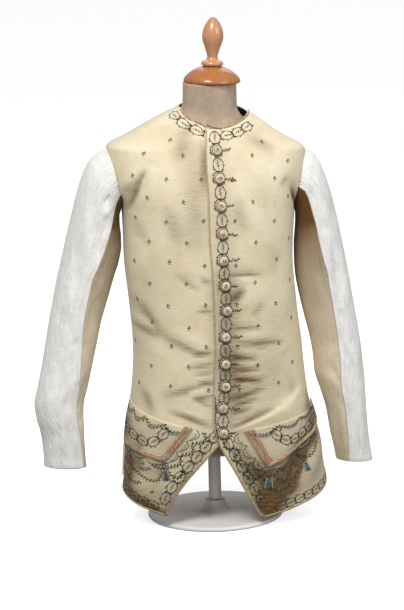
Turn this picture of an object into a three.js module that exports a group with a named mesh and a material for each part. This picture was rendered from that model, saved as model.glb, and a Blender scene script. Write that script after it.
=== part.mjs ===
// A man's sleeved long waistcoat of about 1775, buttoned on a limbless dress form.
// Millimetres, +Z up. The front faces -Y and the wearer's left is +X.
// The origin is the middle of the underside of the stand's base, on the floor.

import * as THREE from 'three';

// ---------------------------------------------------------------- driving dimensions

const CLOTH = 1.6; // silk and its linen lining together
const SEAM = 0.18; // each edge draws back this far from its seam line
const SLEEVE_SEAM = 0.3; // the same where a sleeve's seam twists
const LAP_LIFT = 2.8; // the lap stands this far over the front beneath it
const LAP_REACH = 90; // from the lap's edge to where that lift has died away
const FLAP_LIFT = 1.8; // under a pocket flap
const QUARTER = Math.PI / 2;

// The body of the garment, a row for each height: the section's middle, half width,
// depth before and behind the middle plane, and how square it is (2 is an ellipse).
const BODY = [
  { z: 10, middle: 19, half: 205, front: 119, back: 134, square: 2.15 },
  { z: 60, middle: 19, half: 199, front: 120, back: 131, square: 2.15 },
  { z: 134, middle: 15, half: 190, front: 122, back: 124, square: 2.2 },
  { z: 200, middle: 14, half: 181, front: 122, back: 115, square: 2.2 },
  { z: 250, middle: 13, half: 169, front: 121, back: 107, square: 2.2 },
  { z: 325, middle: 12, half: 162, front: 118, back: 95, square: 2.25 },
  { z: 415, middle: 5, half: 159.5, front: 114, back: 89, square: 2.3 },
  { z: 515, middle: -2, half: 160, front: 115, back: 96, square: 2.35 },
  { z: 600, middle: 0, half: 163.5, front: 113, back: 104, square: 2.35 },
  { z: 640, middle: -1, half: 177, front: 108, back: 105, square: 2.3 },
  { z: 680, middle: -1.5, half: 186, front: 98, back: 102, square: 2.3 },
  { z: 714, middle: -1.5, half: 187, front: 86, back: 96, square: 2.3 },
  { z: 740, middle: 4, half: 146, front: 75, back: 88, square: 2.25 },
  { z: 760, middle: 8, half: 112, front: 63.5, back: 78, square: 2.2 },
  { z: 775, middle: 11, half: 87, front: 56, back: 68, square: 2.1 },
  { z: 790, middle: 14, half: 63.5, front: 46, back: 57, square: 2 },
  { z: 806, middle: 15, half: 54, front: 38, back: 50, square: 2 },
];

// The garment sits lower on the wearer's left, by this fraction of the distance across.
const DROP = [
  { z: 0, slope: 0.02 },
  { z: 350, slope: 0.025 },
  { z: 560, slope: 0.045 },
  { z: 714, slope: 0.045 },
  { z: 790, slope: 0.11 },
  { z: 806, slope: 0.05 },
  { z: 836, slope: 0 },
];

// The armhole, from the shoulder tip to the underarm: angles round the body to its
// front and back edges, counted from the middle front.
const ARMHOLE = [
  { z: 714, front: 90, back: 90 },
  { z: 709, front: 81.5, back: 98 },
  { z: 700, front: 74, back: 105 },
  { z: 688, front: 69.5, back: 110 },
  { z: 674, front: 67.2, back: 112.5 },
  { z: 659, front: 66.6, back: 113.5 },
  { z: 644, front: 67.6, back: 113 },
  { z: 630, front: 70.5, back: 110.5 },
  { z: 618, front: 75.5, back: 105.5 },
  { z: 608, front: 82.5, back: 98 },
  { z: 600, front: 90, back: 90 },
];

// Heights of the rows of each front at its edge and at the side, from hem to underarm.
const SKIRT_ROWS = [
  { edge: 56, side: 84 },
  { edge: 90, side: 107 },
  { edge: 120, side: 130 },
  { edge: 144, side: 150 },
  { edge: 167, side: 170 },
  { edge: 190, side: 191 },
  { edge: 214, side: 214 },
  { edge: 240, side: 240 },
  { edge: 268, side: 268 },
  { edge: 300, side: 300 },
  { edge: 335, side: 335 },
  { edge: 372, side: 372 },
  { edge: 410, side: 410 },
  { edge: 450, side: 450 },
  { edge: 490, side: 490 },
  { edge: 530, side: 530 },
  { edge: 567, side: 567 },
];
const CHEST_EDGE_ROWS = [600, 616, 633, 650, 667, 684, 701, 717, 732, 745, 757];
const SHOULDER_ROWS = [730, 746, 761, 776, 788];
const BACK_HEM = { side: 84, centre: 90 };
const BACK_NECK = 803;

// The fronts' edges, from hem tip through the cut-away to the neck.
const LEFT_EDGE = [
  { z: 20, x: 70.3 },
  { z: 60, x: 48 },
  { z: 120, x: 17 },
  { z: 167, x: -8 },
  { z: 185, x: -14 },
  { z: 212, x: -16.6 },
  { z: 272, x: -15 },
  { z: 352, x: -9.6 },
  { z: 423, x: -9.7 },
  { z: 493, x: -11.3 },
  { z: 563, x: -14.8 },
  { z: 632, x: -14.7 },
  { z: 690, x: -14.9 },
  { z: 757, x: -9.7 },
];
const RIGHT_EDGE = [
  { z: 27, x: -107.7 },
  { z: 66, x: -88 },
  { z: 97, x: -67 },
  { z: 142, x: -29 },
  { z: 167, x: -7 },
  { z: 192, x: 14 },
  { z: 214, x: 21 },
  { z: 757, x: 21 },
];
const HEM_CORNER = { left: 70, right: 61 };

// The neckline across the front.
const NECKLINE = [
  { x: -49.5, z: 790 },
  { x: -46, z: 782 },
  { x: -38, z: 775 },
  { x: -28, z: 771.5 },
  { x: -16, z: 767 },
  { x: -2, z: 761 },
  { x: 6, z: 760.3 },
  { x: 20, z: 762 },
  { x: 31, z: 764.3 },
  { x: 51, z: 772.5 },
  { x: 67, z: 781 },
  { x: 75, z: 787 },
  { x: 77.5, z: 790 },
];

// The largest folds of the body: a soft ridge (+) or trough (-) between two points,
// with its height and half breadth.
const FOLDS = [
  { x1: -122, z1: 688, x2: -160, z2: 620, rise: -7, breadth: 13 },
  { x1: -138, z1: 676, x2: -166, z2: 640, rise: 6, breadth: 13 },
  { x1: 152, z1: 668, x2: 158, z2: 612, rise: -5, breadth: 12 },
  { x1: -100, z1: 236, x2: -20, z2: 192, rise: -3, breadth: 14 },
  { x1: 46, z1: 196, x2: 150, z2: 236, rise: 3.5, breadth: 15 },
  { x1: 46, z1: 222, x2: 160, z2: 262, rise: -2.5, breadth: 15 },
  { x1: 184, z1: 225, x2: 128, z2: 84, rise: -7, breadth: 20 },
  { x1: 206, z1: 170, x2: 166, z2: 66, rise: 5, breadth: 18 },
  { x1: -172, z1: 140, x2: -128, z2: 76, rise: -5, breadth: 16 },
  { x1: -150, z1: 424, x2: -92, z2: 338, rise: -3.5, breadth: 17 },
  { x1: 25, z1: 494, x2: 92, z2: 478, rise: -2.5, breadth: 16 },
];

// Each sleeve, a row for each section: its outer and inner points, how far the section's
// middle lies behind the armhole, its half depth, and the angle of the front seam.
const RIGHT_SLEEVE = {
  side: -1,
  frontSeam: 7,
  rows: [
    { outX: 205, outZ: 713, inX: 165.5, inZ: 602, y: 0, depth: 44, seam: 124 },
    { outX: 222, outZ: 698, inX: 167, inZ: 596.5, y: 1, depth: 46, seam: 127 },
    { outX: 236, outZ: 672, inX: 167.5, inZ: 590, y: 2, depth: 47.5, seam: 128 },
    { outX: 247, outZ: 640, inX: 167.5, inZ: 582, y: 3, depth: 49, seam: 127 },
    { outX: 257, outZ: 605, inX: 167, inZ: 571, y: 4, depth: 50, seam: 124 },
    { outX: 266, outZ: 572, inX: 165.5, inZ: 556, y: 4, depth: 50, seam: 118 },
    { outX: 274.5, outZ: 541, inX: 165.5, inZ: 536, y: 4, depth: 50, seam: 111 },
    { outX: 283, outZ: 508, inX: 171.5, inZ: 505, y: 3, depth: 49.5, seam: 104 },
    { outX: 289.5, outZ: 484, inX: 180.5, inZ: 480, y: 2, depth: 49, seam: 99 },
    { outX: 299.5, outZ: 441, inX: 194.5, inZ: 437, y: 0, depth: 48, seam: 100 },
    { outX: 309.5, outZ: 397, inX: 209, inZ: 394, y: -3, depth: 47, seam: 104 },
    { outX: 317.5, outZ: 358, inX: 219, inZ: 354, y: -7, depth: 46, seam: 110 },
    { outX: 326, outZ: 317, inX: 229, inZ: 314, y: -11, depth: 45.5, seam: 117 },
    { outX: 336, outZ: 276, inX: 239, inZ: 274, y: -15, depth: 45, seam: 124 },
    { outX: 344, outZ: 240, inX: 249, inZ: 236, y: -18, depth: 44, seam: 130 },
    { outX: 341, outZ: 214, inX: 251, inZ: 208, y: -21, depth: 41, seam: 135 },
    { outX: 335, outZ: 188, inX: 251.5, inZ: 183, y: -23, depth: 36, seam: 140 },
    { outX: 331.5, outZ: 155, inX: 250.5, inZ: 150, y: -25, depth: 32, seam: 146 },
    { outX: 330, outZ: 124, inX: 249.5, inZ: 118, y: -26, depth: 29, seam: 150 },
  ],
};
const LEFT_SLEEVE = {
  side: 1,
  frontSeam: 6,
  rows: [
    { outX: 201, outZ: 696, inX: 165.5, inZ: 588, y: 0, depth: 44, seam: 105 },
    { outX: 215, outZ: 678, inX: 167, inZ: 582, y: 1, depth: 46, seam: 107 },
    { outX: 226, outZ: 652, inX: 167.5, inZ: 575, y: 2, depth: 47.5, seam: 107 },
    { outX: 236, outZ: 620, inX: 167.5, inZ: 566, y: 3, depth: 49, seam: 106 },
    { outX: 245, outZ: 585, inX: 167, inZ: 555, y: 4, depth: 50, seam: 103 },
    { outX: 252, outZ: 550, inX: 165.5, inZ: 541, y: 4, depth: 50, seam: 100 },
    { outX: 258, outZ: 520, inX: 163.8, inZ: 520, y: 4, depth: 50, seam: 96 },
    { outX: 263.5, outZ: 490, inX: 163.5, inZ: 492, y: 3, depth: 49.5, seam: 91 },
    { outX: 269, outZ: 459, inX: 165, inZ: 462, y: 2, depth: 49, seam: 87 },
    { outX: 275, outZ: 418, inX: 171.5, inZ: 422, y: 0, depth: 48, seam: 87 },
    { outX: 281.5, outZ: 376, inX: 180, inZ: 382, y: -3, depth: 47, seam: 89 },
    { outX: 288, outZ: 330, inX: 190, inZ: 337, y: -6, depth: 46, seam: 93 },
    { outX: 291.5, outZ: 298, inX: 194.5, inZ: 306, y: -9, depth: 45.5, seam: 95 },
    { outX: 294, outZ: 262, inX: 196.5, inZ: 274, y: -12, depth: 45, seam: 97 },
    { outX: 295, outZ: 228, inX: 206, inZ: 240, y: -15, depth: 43, seam: 101 },
    { outX: 296, outZ: 196, inX: 216, inZ: 204, y: -18, depth: 40, seam: 102 },
    { outX: 298.5, outZ: 152, inX: 223, inZ: 158, y: -21, depth: 35, seam: 104 },
    { outX: 302, outZ: 122, inX: 229, inZ: 128, y: -22, depth: 32, seam: 109 },
    { outX: 305.5, outZ: 96, inX: 234.5, inZ: 101, y: -22, depth: 29, seam: 113 },
  ],
};
const HIND_SEAM = { column: 14, angle: 255 };

// Pocket flaps: angle round the body and height of the four corners.
const RIGHT_FLAP = {
  sideTop: { angle: -86, z: 240 },
  frontTop: { x: -55, z: 201 },
  frontLow: { x: -107, z: 134.5 },
  sideLow: { angle: -86, z: 156 },
};
const LEFT_FLAP = {
  sideTop: { angle: 86, z: 224 },
  frontTop: { x: 39, z: 195 },
  frontLow: { x: 83, z: 119.5 },
  sideLow: { angle: 86, z: 196 },
};

// Twelve buttons down the lap, at their hand-sewn places.
const BUTTONS = [
  { x: 7.3, z: 719 },
  { x: 8.7, z: 669.6 },
  { x: 9, z: 620 },
  { x: 10.4, z: 568.8 },
  { x: 9.9, z: 518.6 },
  { x: 12.7, z: 470.8 },
  { x: 14.6, z: 423.5 },
  { x: 10.4, z: 373.5 },
  { x: 9.1, z: 322.6 },
  { x: 7.2, z: 279.9 },
  { x: 1.6, z: 238.5 },
  { x: 1.2, z: 190.3 },
];
const BUTTON = { radius: 9, rim: 1.6, height: 5.4, lift: 0.7 };

// The dress form: how far its side lies inside the garment's, up to the shoulder slope.
const FORM_INSET = [
  { z: 140, inset: 20 },
  { z: 185, inset: 16 },
  { z: 240, inset: 11 },
  { z: 320, inset: 8 },
  { z: 420, inset: 7.5 },
  { z: 500, inset: 7 },
  { z: 570, inset: 9 },
  { z: 620, inset: 12 },
  { z: 660, inset: 12 },
  { z: 688, inset: 8 },
  { z: 704, inset: 4.8 },
  { z: 716, inset: 4.3 },
  { z: 730, inset: 4 },
  { z: 745, inset: 4 },
];
const FORM_NECK = [
  { z: 757, middle: 7.5, half: 104, front: 57, back: 70, square: 2.15 },
  { z: 768, middle: 8, half: 80, front: 51, back: 60, square: 2.05 },
  { z: 780, middle: 8.5, half: 59, front: 48.5, back: 52, square: 2 },
  { z: 796, middle: 8.5, half: 51, front: 48, back: 49, square: 2 },
  { z: 836, middle: 9, half: 50, front: 47.5, back: 47.5, square: 2 },
];
const NECK_LEAN = { x: 13.6, z: 836, angle: 0.044 }; // the cap's place and its tilt to the left

// Turned wooden parts as radius and height above the top of the neck.
const CAP_PROFILE = [
  [0, 0.4], [50.5, 0.4], [53.2, 3.6], [51.8, 8], [46, 15], [37, 21.4], [26, 27.6], [15, 31.4], [0, 31.4],
];
const FINIAL_PROFILE = [
  [0, 32], [19.4, 32], [20.6, 35.6], [19, 39.4], [11.6, 41.6], [9.6, 47], [11.2, 56],
  [15, 67], [18.6, 77], [19.7, 86], [18.2, 97], [13.6, 109], [8, 117.6], [0, 122.2],
];

// The stand under the form, as radius and height above the floor.
const POST = { radius: 12, top: 139.6, bottom: 30.3 };
const BASE_PROFILE = [
  [0, 0], [128, 0], [130, 2], [130, 6], [127, 8], [36, 10.5], [24, 15], [19, 22], [18.5, 30], [0, 30],
];

const SILK = { color: 0xdccba0, roughness: 0.55, metalness: 0 };
const BACK_LINEN = { color: 0xd8cdb2, roughness: 0.9, metalness: 0 };
const WHITE_LINEN = { color: 0xefeeea, roughness: 0.9, metalness: 0 };
const BUFF_LINEN = { color: 0xc9b79c, roughness: 0.9, metalness: 0 };
const BUTTON_SILK = { color: 0xcbb093, roughness: 0.6, metalness: 0 };
const FORM_LINEN = { color: 0xc3b5a3, roughness: 0.95, metalness: 0 };
const WOOD = { color: 0xc8824a, roughness: 0.35, metalness: 0 };
const ENAMEL = { color: 0xf0efec, roughness: 0.35, metalness: 0 };

// ---------------------------------------------------------------- curves and surfaces

// Value of a named column at a height, by a monotone cubic through the table's rows.
function read(table, column, at, key = 'z') {
  const last = table.length - 1;
  const rising = table[last][key] > table[0][key] ? 1 : -1;
  const side = (row) => rising * table[row][key];
  const where = rising * at;
  if (where <= side(0)) return table[0][column];
  if (where >= side(last)) return table[last][column];
  let low = 0;
  while (side(low + 1) < where) low += 1;
  const slope = (row) => (table[row + 1][column] - table[row][column]) / (side(row + 1) - side(row));
  const tangent = (row) => {
    if (row === 0) return slope(0);
    if (row === last) return slope(last - 1);
    const before = slope(row - 1);
    const after = slope(row);
    return before * after <= 0 ? 0 : (2 * before * after) / (before + after);
  };
  const span = side(low + 1) - side(low);
  const t = (where - side(low)) / span;
  const start = table[low][column];
  const end = table[low + 1][column];
  const bend = 3 * (end - start) - span * (2 * tangent(low) + tangent(low + 1));
  const twist = 2 * (start - end) + span * (tangent(low) + tangent(low + 1));
  return start + t * (span * tangent(low) + t * (bend + t * twist));
}

// A point of a rounded section, with the angle counted from the middle front to +X.
function sectionPoint(section, angle, z) {
  const across = Math.sin(angle);
  const along = Math.cos(angle);
  const sum = Math.abs(across) ** section.square + Math.abs(along) ** section.square;
  const reach = sum ** (-1 / section.square);
  const depth = along > 0 ? section.front : section.back;
  return new THREE.Vector3(section.middle + section.half * reach * across, -depth * reach * along, z);
}

function bodySection(z) {
  const section = {};
  for (const column of ['middle', 'half', 'front', 'back', 'square']) section[column] = read(BODY, column, z);
  return section;
}

function bodyNormal(angle, z) {
  const step = 0.02;
  const rise = 2;
  const around = sectionPoint(bodySection(z), angle + step, z).sub(sectionPoint(bodySection(z), angle - step, z));
  const up = sectionPoint(bodySection(z + rise), angle, z + rise)
    .sub(sectionPoint(bodySection(z - rise), angle, z - rise));
  return around.cross(up).normalize();
}

function foldRise(x, z) {
  let rise = 0;
  for (const fold of FOLDS) {
    const run = new THREE.Vector2(fold.x2 - fold.x1, fold.z2 - fold.z1);
    const offset = new THREE.Vector2(x - fold.x1, z - fold.z1);
    const t = THREE.MathUtils.clamp(offset.dot(run) / run.lengthSq(), 0, 1);
    const away = offset.sub(run.multiplyScalar(t)).length();
    const swell = 0.35 + 0.65 * Math.sin(Math.PI * t);
    rise += fold.rise * swell * Math.exp(-((away / fold.breadth) ** 2));
  }
  return rise;
}

function settle(point) {
  point.z -= read(DROP, 'slope', point.z) * point.x;
  return point;
}

function bodyPoint(angle, z, out) {
  const point = sectionPoint(bodySection(z), angle, z);
  const folded = Math.abs(angle) < QUARTER * 1.1 ? foldRise(point.x, z) : 0;
  point.addScaledVector(bodyNormal(angle, z), out + folded);
  return settle(point);
}

// The angle at which the front of the body has a given x.
function angleAt(x, z) {
  const section = bodySection(z);
  let low = -QUARTER;
  let high = QUARTER;
  for (let halving = 0; halving < 40; halving += 1) {
    const middle = (low + high) / 2;
    if (sectionPoint(section, middle, z).x < x) low = middle;
    else high = middle;
  }
  return (low + high) / 2;
}

// ---------------------------------------------------------------- solids

function meshOf(name, points, faces, finish) {
  let volume = 0;
  for (const [a, b, c] of faces) volume += points[a].dot(points[b].clone().cross(points[c]));
  const index = volume > 0 ? faces.flat() : faces.map(([a, b, c]) => [a, c, b]).flat();
  const geometry = new THREE.BufferGeometry();
  const places = points.flatMap((point) => [point.x, point.y, point.z]);
  geometry.setAttribute('position', new THREE.Float32BufferAttribute(places, 3));
  geometry.setIndex(index);
  geometry.computeVertexNormals();
  const mesh = new THREE.Mesh(geometry, new THREE.MeshStandardMaterial(finish));
  mesh.name = name;
  return mesh;
}

// A cloth wall between an outer and an inner grid of points, closed round its four edges.
function wall(name, outer, inner, finish) {
  const rows = outer.length;
  const columns = outer[0].length;
  const count = rows * columns;
  const at = (row, column) => row * columns + column;
  const faces = [];
  const quad = (a, b, c, d) => faces.push([a, b, c], [a, c, d]);
  for (let row = 0; row < rows - 1; row += 1) {
    for (let column = 0; column < columns - 1; column += 1) {
      const corners = [at(row, column), at(row, column + 1), at(row + 1, column + 1), at(row + 1, column)];
      quad(...corners);
      quad(...corners.map((corner) => corner + count).reverse());
    }
  }
  for (let row = 0; row < rows - 1; row += 1) {
    quad(at(row + 1, 0), at(row + 1, 0) + count, at(row, 0) + count, at(row, 0));
    const end = columns - 1;
    quad(at(row, end), at(row, end) + count, at(row + 1, end) + count, at(row + 1, end));
  }
  for (let column = 0; column < columns - 1; column += 1) {
    quad(at(0, column), at(0, column) + count, at(0, column + 1) + count, at(0, column + 1));
    const top = rows - 1;
    quad(at(top, column + 1), at(top, column + 1) + count, at(top, column) + count, at(top, column));
  }
  return meshOf(name, [...outer.flat(), ...inner.flat()], faces, finish);
}

// Draws the first and last points of a row back from the seam.
function drawBack(row, first, last) {
  const end = row.length - 1;
  const from = row[0].clone();
  if (first) row[0].add(row[1].clone().sub(from).setLength(first));
  if (last) row[end].add(row[end - 1].clone().sub(row[end]).setLength(last));
}

function lathe(name, profile, finish, segments) {
  const outline = profile.map(([radius, height]) => new THREE.Vector2(radius, height));
  const spun = new THREE.LatheGeometry(outline, segments);
  const places = spun.getAttribute('position');
  const points = [];
  const merged = new Map();
  const number = [];
  for (let item = 0; item < places.count; item += 1) {
    const point = new THREE.Vector3().fromBufferAttribute(places, item);
    const key = point.toArray().map((value) => value.toFixed(3)).join();
    if (!merged.has(key.replaceAll('-0.000', '0.000'))) {
      merged.set(key.replaceAll('-0.000', '0.000'), points.length);
      points.push(new THREE.Vector3(point.x, -point.z, point.y));
    }
    number.push(merged.get(key.replaceAll('-0.000', '0.000')));
  }
  const faces = [];
  const index = spun.getIndex();
  for (let item = 0; item < index.count; item += 3) {
    const face = [0, 1, 2].map((corner) => number[index.getX(item + corner)]);
    if (new Set(face).size === 3) faces.push(face);
  }
  return meshOf(name, points, faces, finish);
}

// ---------------------------------------------------------------- fronts

const FRONT_COLUMNS = 11;

function frontRows(edgeTable, hemTip, corner, side) {
  const rows = [{ edgeX: hemTip.x, edgeZ: hemTip.z, sideZ: corner }];
  for (const level of SKIRT_ROWS) {
    rows.push({ edgeX: read(edgeTable, 'x', level.edge), edgeZ: level.edge, sideZ: level.side });
  }
  CHEST_EDGE_ROWS.forEach((edgeZ, row) => {
    const hole = ARMHOLE[ARMHOLE.length - 1 - row];
    rows.push({ edgeX: read(edgeTable, 'x', edgeZ), edgeZ, sideZ: hole.z, sideAngle: hole.front });
  });
  const start = rows[rows.length - 1];
  start.edgeZ = read(NECKLINE, 'z', start.edgeX, 'x');
  const tip = side > 0 ? NECKLINE[NECKLINE.length - 1].x : NECKLINE[0].x;
  SHOULDER_ROWS.forEach((sideZ, row) => {
    const share = Math.sin(QUARTER * (row + 1) / (SHOULDER_ROWS.length + 0.45));
    const edgeX = start.edgeX + (tip - start.edgeX) * share;
    rows.push({ edgeX, edgeZ: read(NECKLINE, 'z', edgeX, 'x'), sideZ });
  });
  for (const row of rows) {
    row.edgeAngle = angleAt(row.edgeX, row.edgeZ);
    row.sideAngle = side * THREE.MathUtils.degToRad(row.sideAngle ?? 90);
  }
  return rows;
}

function lapLift(x, edgeX, lift) {
  return lift * (1 - THREE.MathUtils.smoothstep(x, edgeX + LAP_REACH / 2, edgeX + LAP_REACH));
}

function frontGrid(rows, lift, depth) {
  return rows.map((row) => {
    const line = [];
    for (let column = 0; column < FRONT_COLUMNS; column += 1) {
      const share = column / (FRONT_COLUMNS - 1);
      const angle = THREE.MathUtils.lerp(row.edgeAngle, row.sideAngle, share);
      const z = THREE.MathUtils.lerp(row.edgeZ, row.sideZ, share);
      const x = sectionPoint(bodySection(z), angle, z).x;
      line.push(bodyPoint(angle, z, lapLift(x, row.edgeX, lift) - depth));
    }
    drawBack(line, 0, SEAM);
    return line;
  });
}

function makeFront(name, edgeTable, corner, side, lift) {
  const rows = frontRows(edgeTable, edgeTable[0], corner, side);
  const outer = frontGrid(rows, lift, 0);
  const inner = frontGrid(rows, lift, CLOTH);
  return { rows, outer, mesh: wall(name, outer, inner, SILK) };
}

const frontLeft = makeFront('front_left', LEFT_EDGE, HEM_CORNER.left, 1, LAP_LIFT);
const frontRight = makeFront('front_right', RIGHT_EDGE, HEM_CORNER.right, -1, 0);

// A place on a front's facets, and the way out from it, at an angle and a height.
function onFront(front, angle, z) {
  const { rows, outer } = front;
  const place = (level) => {
    const row = Math.min(Math.floor(level), rows.length - 2);
    const share = level - row;
    const mix = (column) => THREE.MathUtils.lerp(rows[row][column], rows[row + 1][column], share);
    const across = (angle - mix('edgeAngle')) / (mix('sideAngle') - mix('edgeAngle'));
    const bounded = THREE.MathUtils.clamp(across, 0, 1);
    return { row, share, across: bounded, z: THREE.MathUtils.lerp(mix('edgeZ'), mix('sideZ'), bounded) };
  };
  let low = 0;
  let high = rows.length - 1;
  for (let halving = 0; halving < 40; halving += 1) {
    const middle = (low + high) / 2;
    if (place(middle).z < z) low = middle;
    else high = middle;
  }
  const spot = place((low + high) / 2);
  const column = Math.min(Math.floor(spot.across * (FRONT_COLUMNS - 1)), FRONT_COLUMNS - 2);
  const share = spot.across * (FRONT_COLUMNS - 1) - column;
  const lower = outer[spot.row][column].clone().lerp(outer[spot.row][column + 1], share);
  const upper = outer[spot.row + 1][column].clone().lerp(outer[spot.row + 1][column + 1], share);
  const point = lower.clone().lerp(upper, spot.share);
  return { point, normal: bodyNormal(angle, z) };
}

// ---------------------------------------------------------------- backs

const BACK_COLUMNS = 9;

function backRows(side) {
  const rows = [{ sideZ: BACK_HEM.side, sideAngle: 90, centreZ: BACK_HEM.centre }];
  for (const level of SKIRT_ROWS.slice(1)) {
    rows.push({ sideZ: level.side, sideAngle: 90, centreZ: Math.max(level.side, BACK_HEM.centre + 20) });
  }
  for (const hole of [...ARMHOLE].reverse()) {
    rows.push({ sideZ: hole.z, sideAngle: hole.back, centreZ: 600 + (hole.z - 600) * 1.12 });
  }
  const top = rows[rows.length - 1].centreZ;
  const neck = ARMHOLE[0].z;
  const point = NECKLINE[0].z;
  for (const sideZ of SHOULDER_ROWS) {
    const share = (sideZ - neck) / (point - neck);
    rows.push({ sideZ, sideAngle: 90, centreZ: THREE.MathUtils.lerp(top, BACK_NECK, share) });
  }
  for (const row of rows) row.sideAngle = side * THREE.MathUtils.degToRad(row.sideAngle);
  return rows;
}

function backGrid(side, depth) {
  return backRows(side).map((row) => {
    const line = [];
    for (let column = 0; column < BACK_COLUMNS; column += 1) {
      const share = column / (BACK_COLUMNS - 1);
      const angle = THREE.MathUtils.lerp(row.sideAngle, side * Math.PI, share);
      const z = THREE.MathUtils.lerp(row.sideZ, row.centreZ, share);
      line.push(bodyPoint(angle, z, -depth));
    }
    drawBack(line, SEAM, SEAM);
    return line;
  });
}

function makeBack(name, side) {
  return wall(name, backGrid(side, 0), backGrid(side, CLOTH), BACK_LINEN);
}

const backs = [makeBack('back_left', 1), makeBack('back_right', -1)];

// ---------------------------------------------------------------- sleeves

const RING = 2 * (ARMHOLE.length - 1);

// The armhole's seam line, from the shoulder tip down the front and up the back.
function armholeRing(side) {
  const ring = [];
  const centre = new THREE.Vector3();
  for (let item = 0; item < RING; item += 1) {
    const behind = item > RING / 2;
    const hole = ARMHOLE[behind ? RING - item : item];
    const angle = side * THREE.MathUtils.degToRad(behind ? hole.back : hole.front);
    const normal = bodyNormal(angle, hole.z);
    const point = bodyPoint(angle, hole.z, 0);
    ring.push({ point, normal });
    centre.addScaledVector(point, 1 / RING);
  }
  return ring.map(({ point, normal }) => {
    const outer = point.clone().addScaledVector(normal, 2 * SEAM);
    const inward = centre.clone().sub(outer);
    inward.addScaledVector(normal, -inward.dot(normal)).setLength(CLOTH);
    return { outer, inner: outer.clone().add(inward) };
  });
}

function sleeveAngles(sleeve, seam) {
  const anchors = [
    { column: 0, angle: 0 },
    { column: sleeve.frontSeam, angle: seam },
    { column: RING / 2, angle: 180 },
    { column: HIND_SEAM.column, angle: HIND_SEAM.angle },
    { column: RING, angle: 360 },
  ];
  const angles = [];
  for (let column = 0; column < RING; column += 1) {
    const next = anchors.findIndex((anchor) => anchor.column > column);
    const from = anchors[next - 1];
    const to = anchors[next];
    const share = (column - from.column) / (to.column - from.column);
    angles.push(THREE.MathUtils.degToRad(THREE.MathUtils.lerp(from.angle, to.angle, share)));
  }
  return angles;
}

function sleeveRings(sleeve) {
  const rings = [armholeRing(sleeve.side)];
  for (const row of sleeve.rows) {
    const outer = new THREE.Vector3(sleeve.side * row.outX, row.y, row.outZ);
    const inner = new THREE.Vector3(sleeve.side * row.inX, row.y, row.inZ);
    const middle = outer.clone().add(inner).multiplyScalar(0.5);
    const breadth = outer.clone().sub(middle);
    const half = breadth.length();
    breadth.normalize();
    const place = (angle, less) => middle.clone()
      .addScaledVector(breadth, (half - less) * Math.cos(angle))
      .add(new THREE.Vector3(0, -(row.depth - less) * Math.sin(angle), 0));
    rings.push(sleeveAngles(sleeve, row.seam).map((angle) => ({
      outer: place(angle, 0),
      inner: place(angle, CLOTH),
    })));
  }
  return rings;
}

function makeSleevePiece(name, rings, first, last, finish) {
  const grid = (wallSide) => rings.map((ring) => {
    const line = [];
    for (let column = first; column <= last; column += 1) line.push(ring[column % RING][wallSide].clone());
    drawBack(line, SLEEVE_SEAM, SLEEVE_SEAM);
    return line;
  });
  return wall(name, grid('outer'), grid('inner'), finish);
}

const sleevePieces = [];
for (const [name, sleeve] of [['left', LEFT_SLEEVE], ['right', RIGHT_SLEEVE]]) {
  const rings = sleeveRings(sleeve);
  const upperEnd = RING + sleeve.frontSeam;
  const upper = makeSleevePiece(`sleeve_${name}_upper`, rings, HIND_SEAM.column, upperEnd, WHITE_LINEN);
  const under = makeSleevePiece(`sleeve_${name}_under`, rings, sleeve.frontSeam, HIND_SEAM.column, BUFF_LINEN);
  sleevePieces.push(upper, under);
}

// ---------------------------------------------------------------- pocket flaps

const FLAP_ROWS = 9;
const FLAP_COLUMNS = 14;

function makeFlap(name, flap, front) {
  const cornerAngle = (corner) => (corner.angle === undefined
    ? angleAt(corner.x, corner.z)
    : THREE.MathUtils.degToRad(corner.angle));
  const grid = (lift) => {
    const lines = [];
    for (let row = 0; row < FLAP_ROWS; row += 1) {
      const down = row / (FLAP_ROWS - 1);
      const sideAngle = THREE.MathUtils.lerp(cornerAngle(flap.sideTop), cornerAngle(flap.sideLow), down);
      const sideZ = THREE.MathUtils.lerp(flap.sideTop.z, flap.sideLow.z, down);
      const frontAngle = THREE.MathUtils.lerp(cornerAngle(flap.frontTop), cornerAngle(flap.frontLow), down);
      const frontZ = THREE.MathUtils.lerp(flap.frontTop.z, flap.frontLow.z, down);
      const line = [];
      for (let column = 0; column < FLAP_COLUMNS; column += 1) {
        const share = column / (FLAP_COLUMNS - 1);
        const angle = THREE.MathUtils.lerp(sideAngle, frontAngle, share);
        const place = onFront(front, angle, THREE.MathUtils.lerp(sideZ, frontZ, share));
        line.push(place.point.addScaledVector(place.normal, lift));
      }
      lines.push(line);
    }
    return lines;
  };
  return wall(name, grid(FLAP_LIFT + CLOTH), grid(FLAP_LIFT), SILK);
}

const flaps = [
  makeFlap('pocket_flap_left', LEFT_FLAP, frontLeft),
  makeFlap('pocket_flap_right', RIGHT_FLAP, frontRight),
];

// ---------------------------------------------------------------- buttons

const BUTTON_PROFILE = [
  [0, 0],
  [BUTTON.radius - 0.6, 0],
  [BUTTON.radius, BUTTON.rim],
  [BUTTON.radius * 0.66, BUTTON.height - 1],
  [0, BUTTON.height],
];

const buttons = BUTTONS.map(({ x, z }, number) => {
  const name = `button_${String(number + 1).padStart(2, '0')}`;
  const button = lathe(name, BUTTON_PROFILE, BUTTON_SILK, 12);
  const place = onFront(frontLeft, angleAt(x, z), z);
  button.position.copy(place.point.addScaledVector(place.normal, BUTTON.lift));
  button.quaternion.setFromUnitVectors(new THREE.Vector3(0, 0, 1), place.normal);
  return button;
});

// ---------------------------------------------------------------- dress form and stand

const FORM_COLUMNS = 26;

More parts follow.
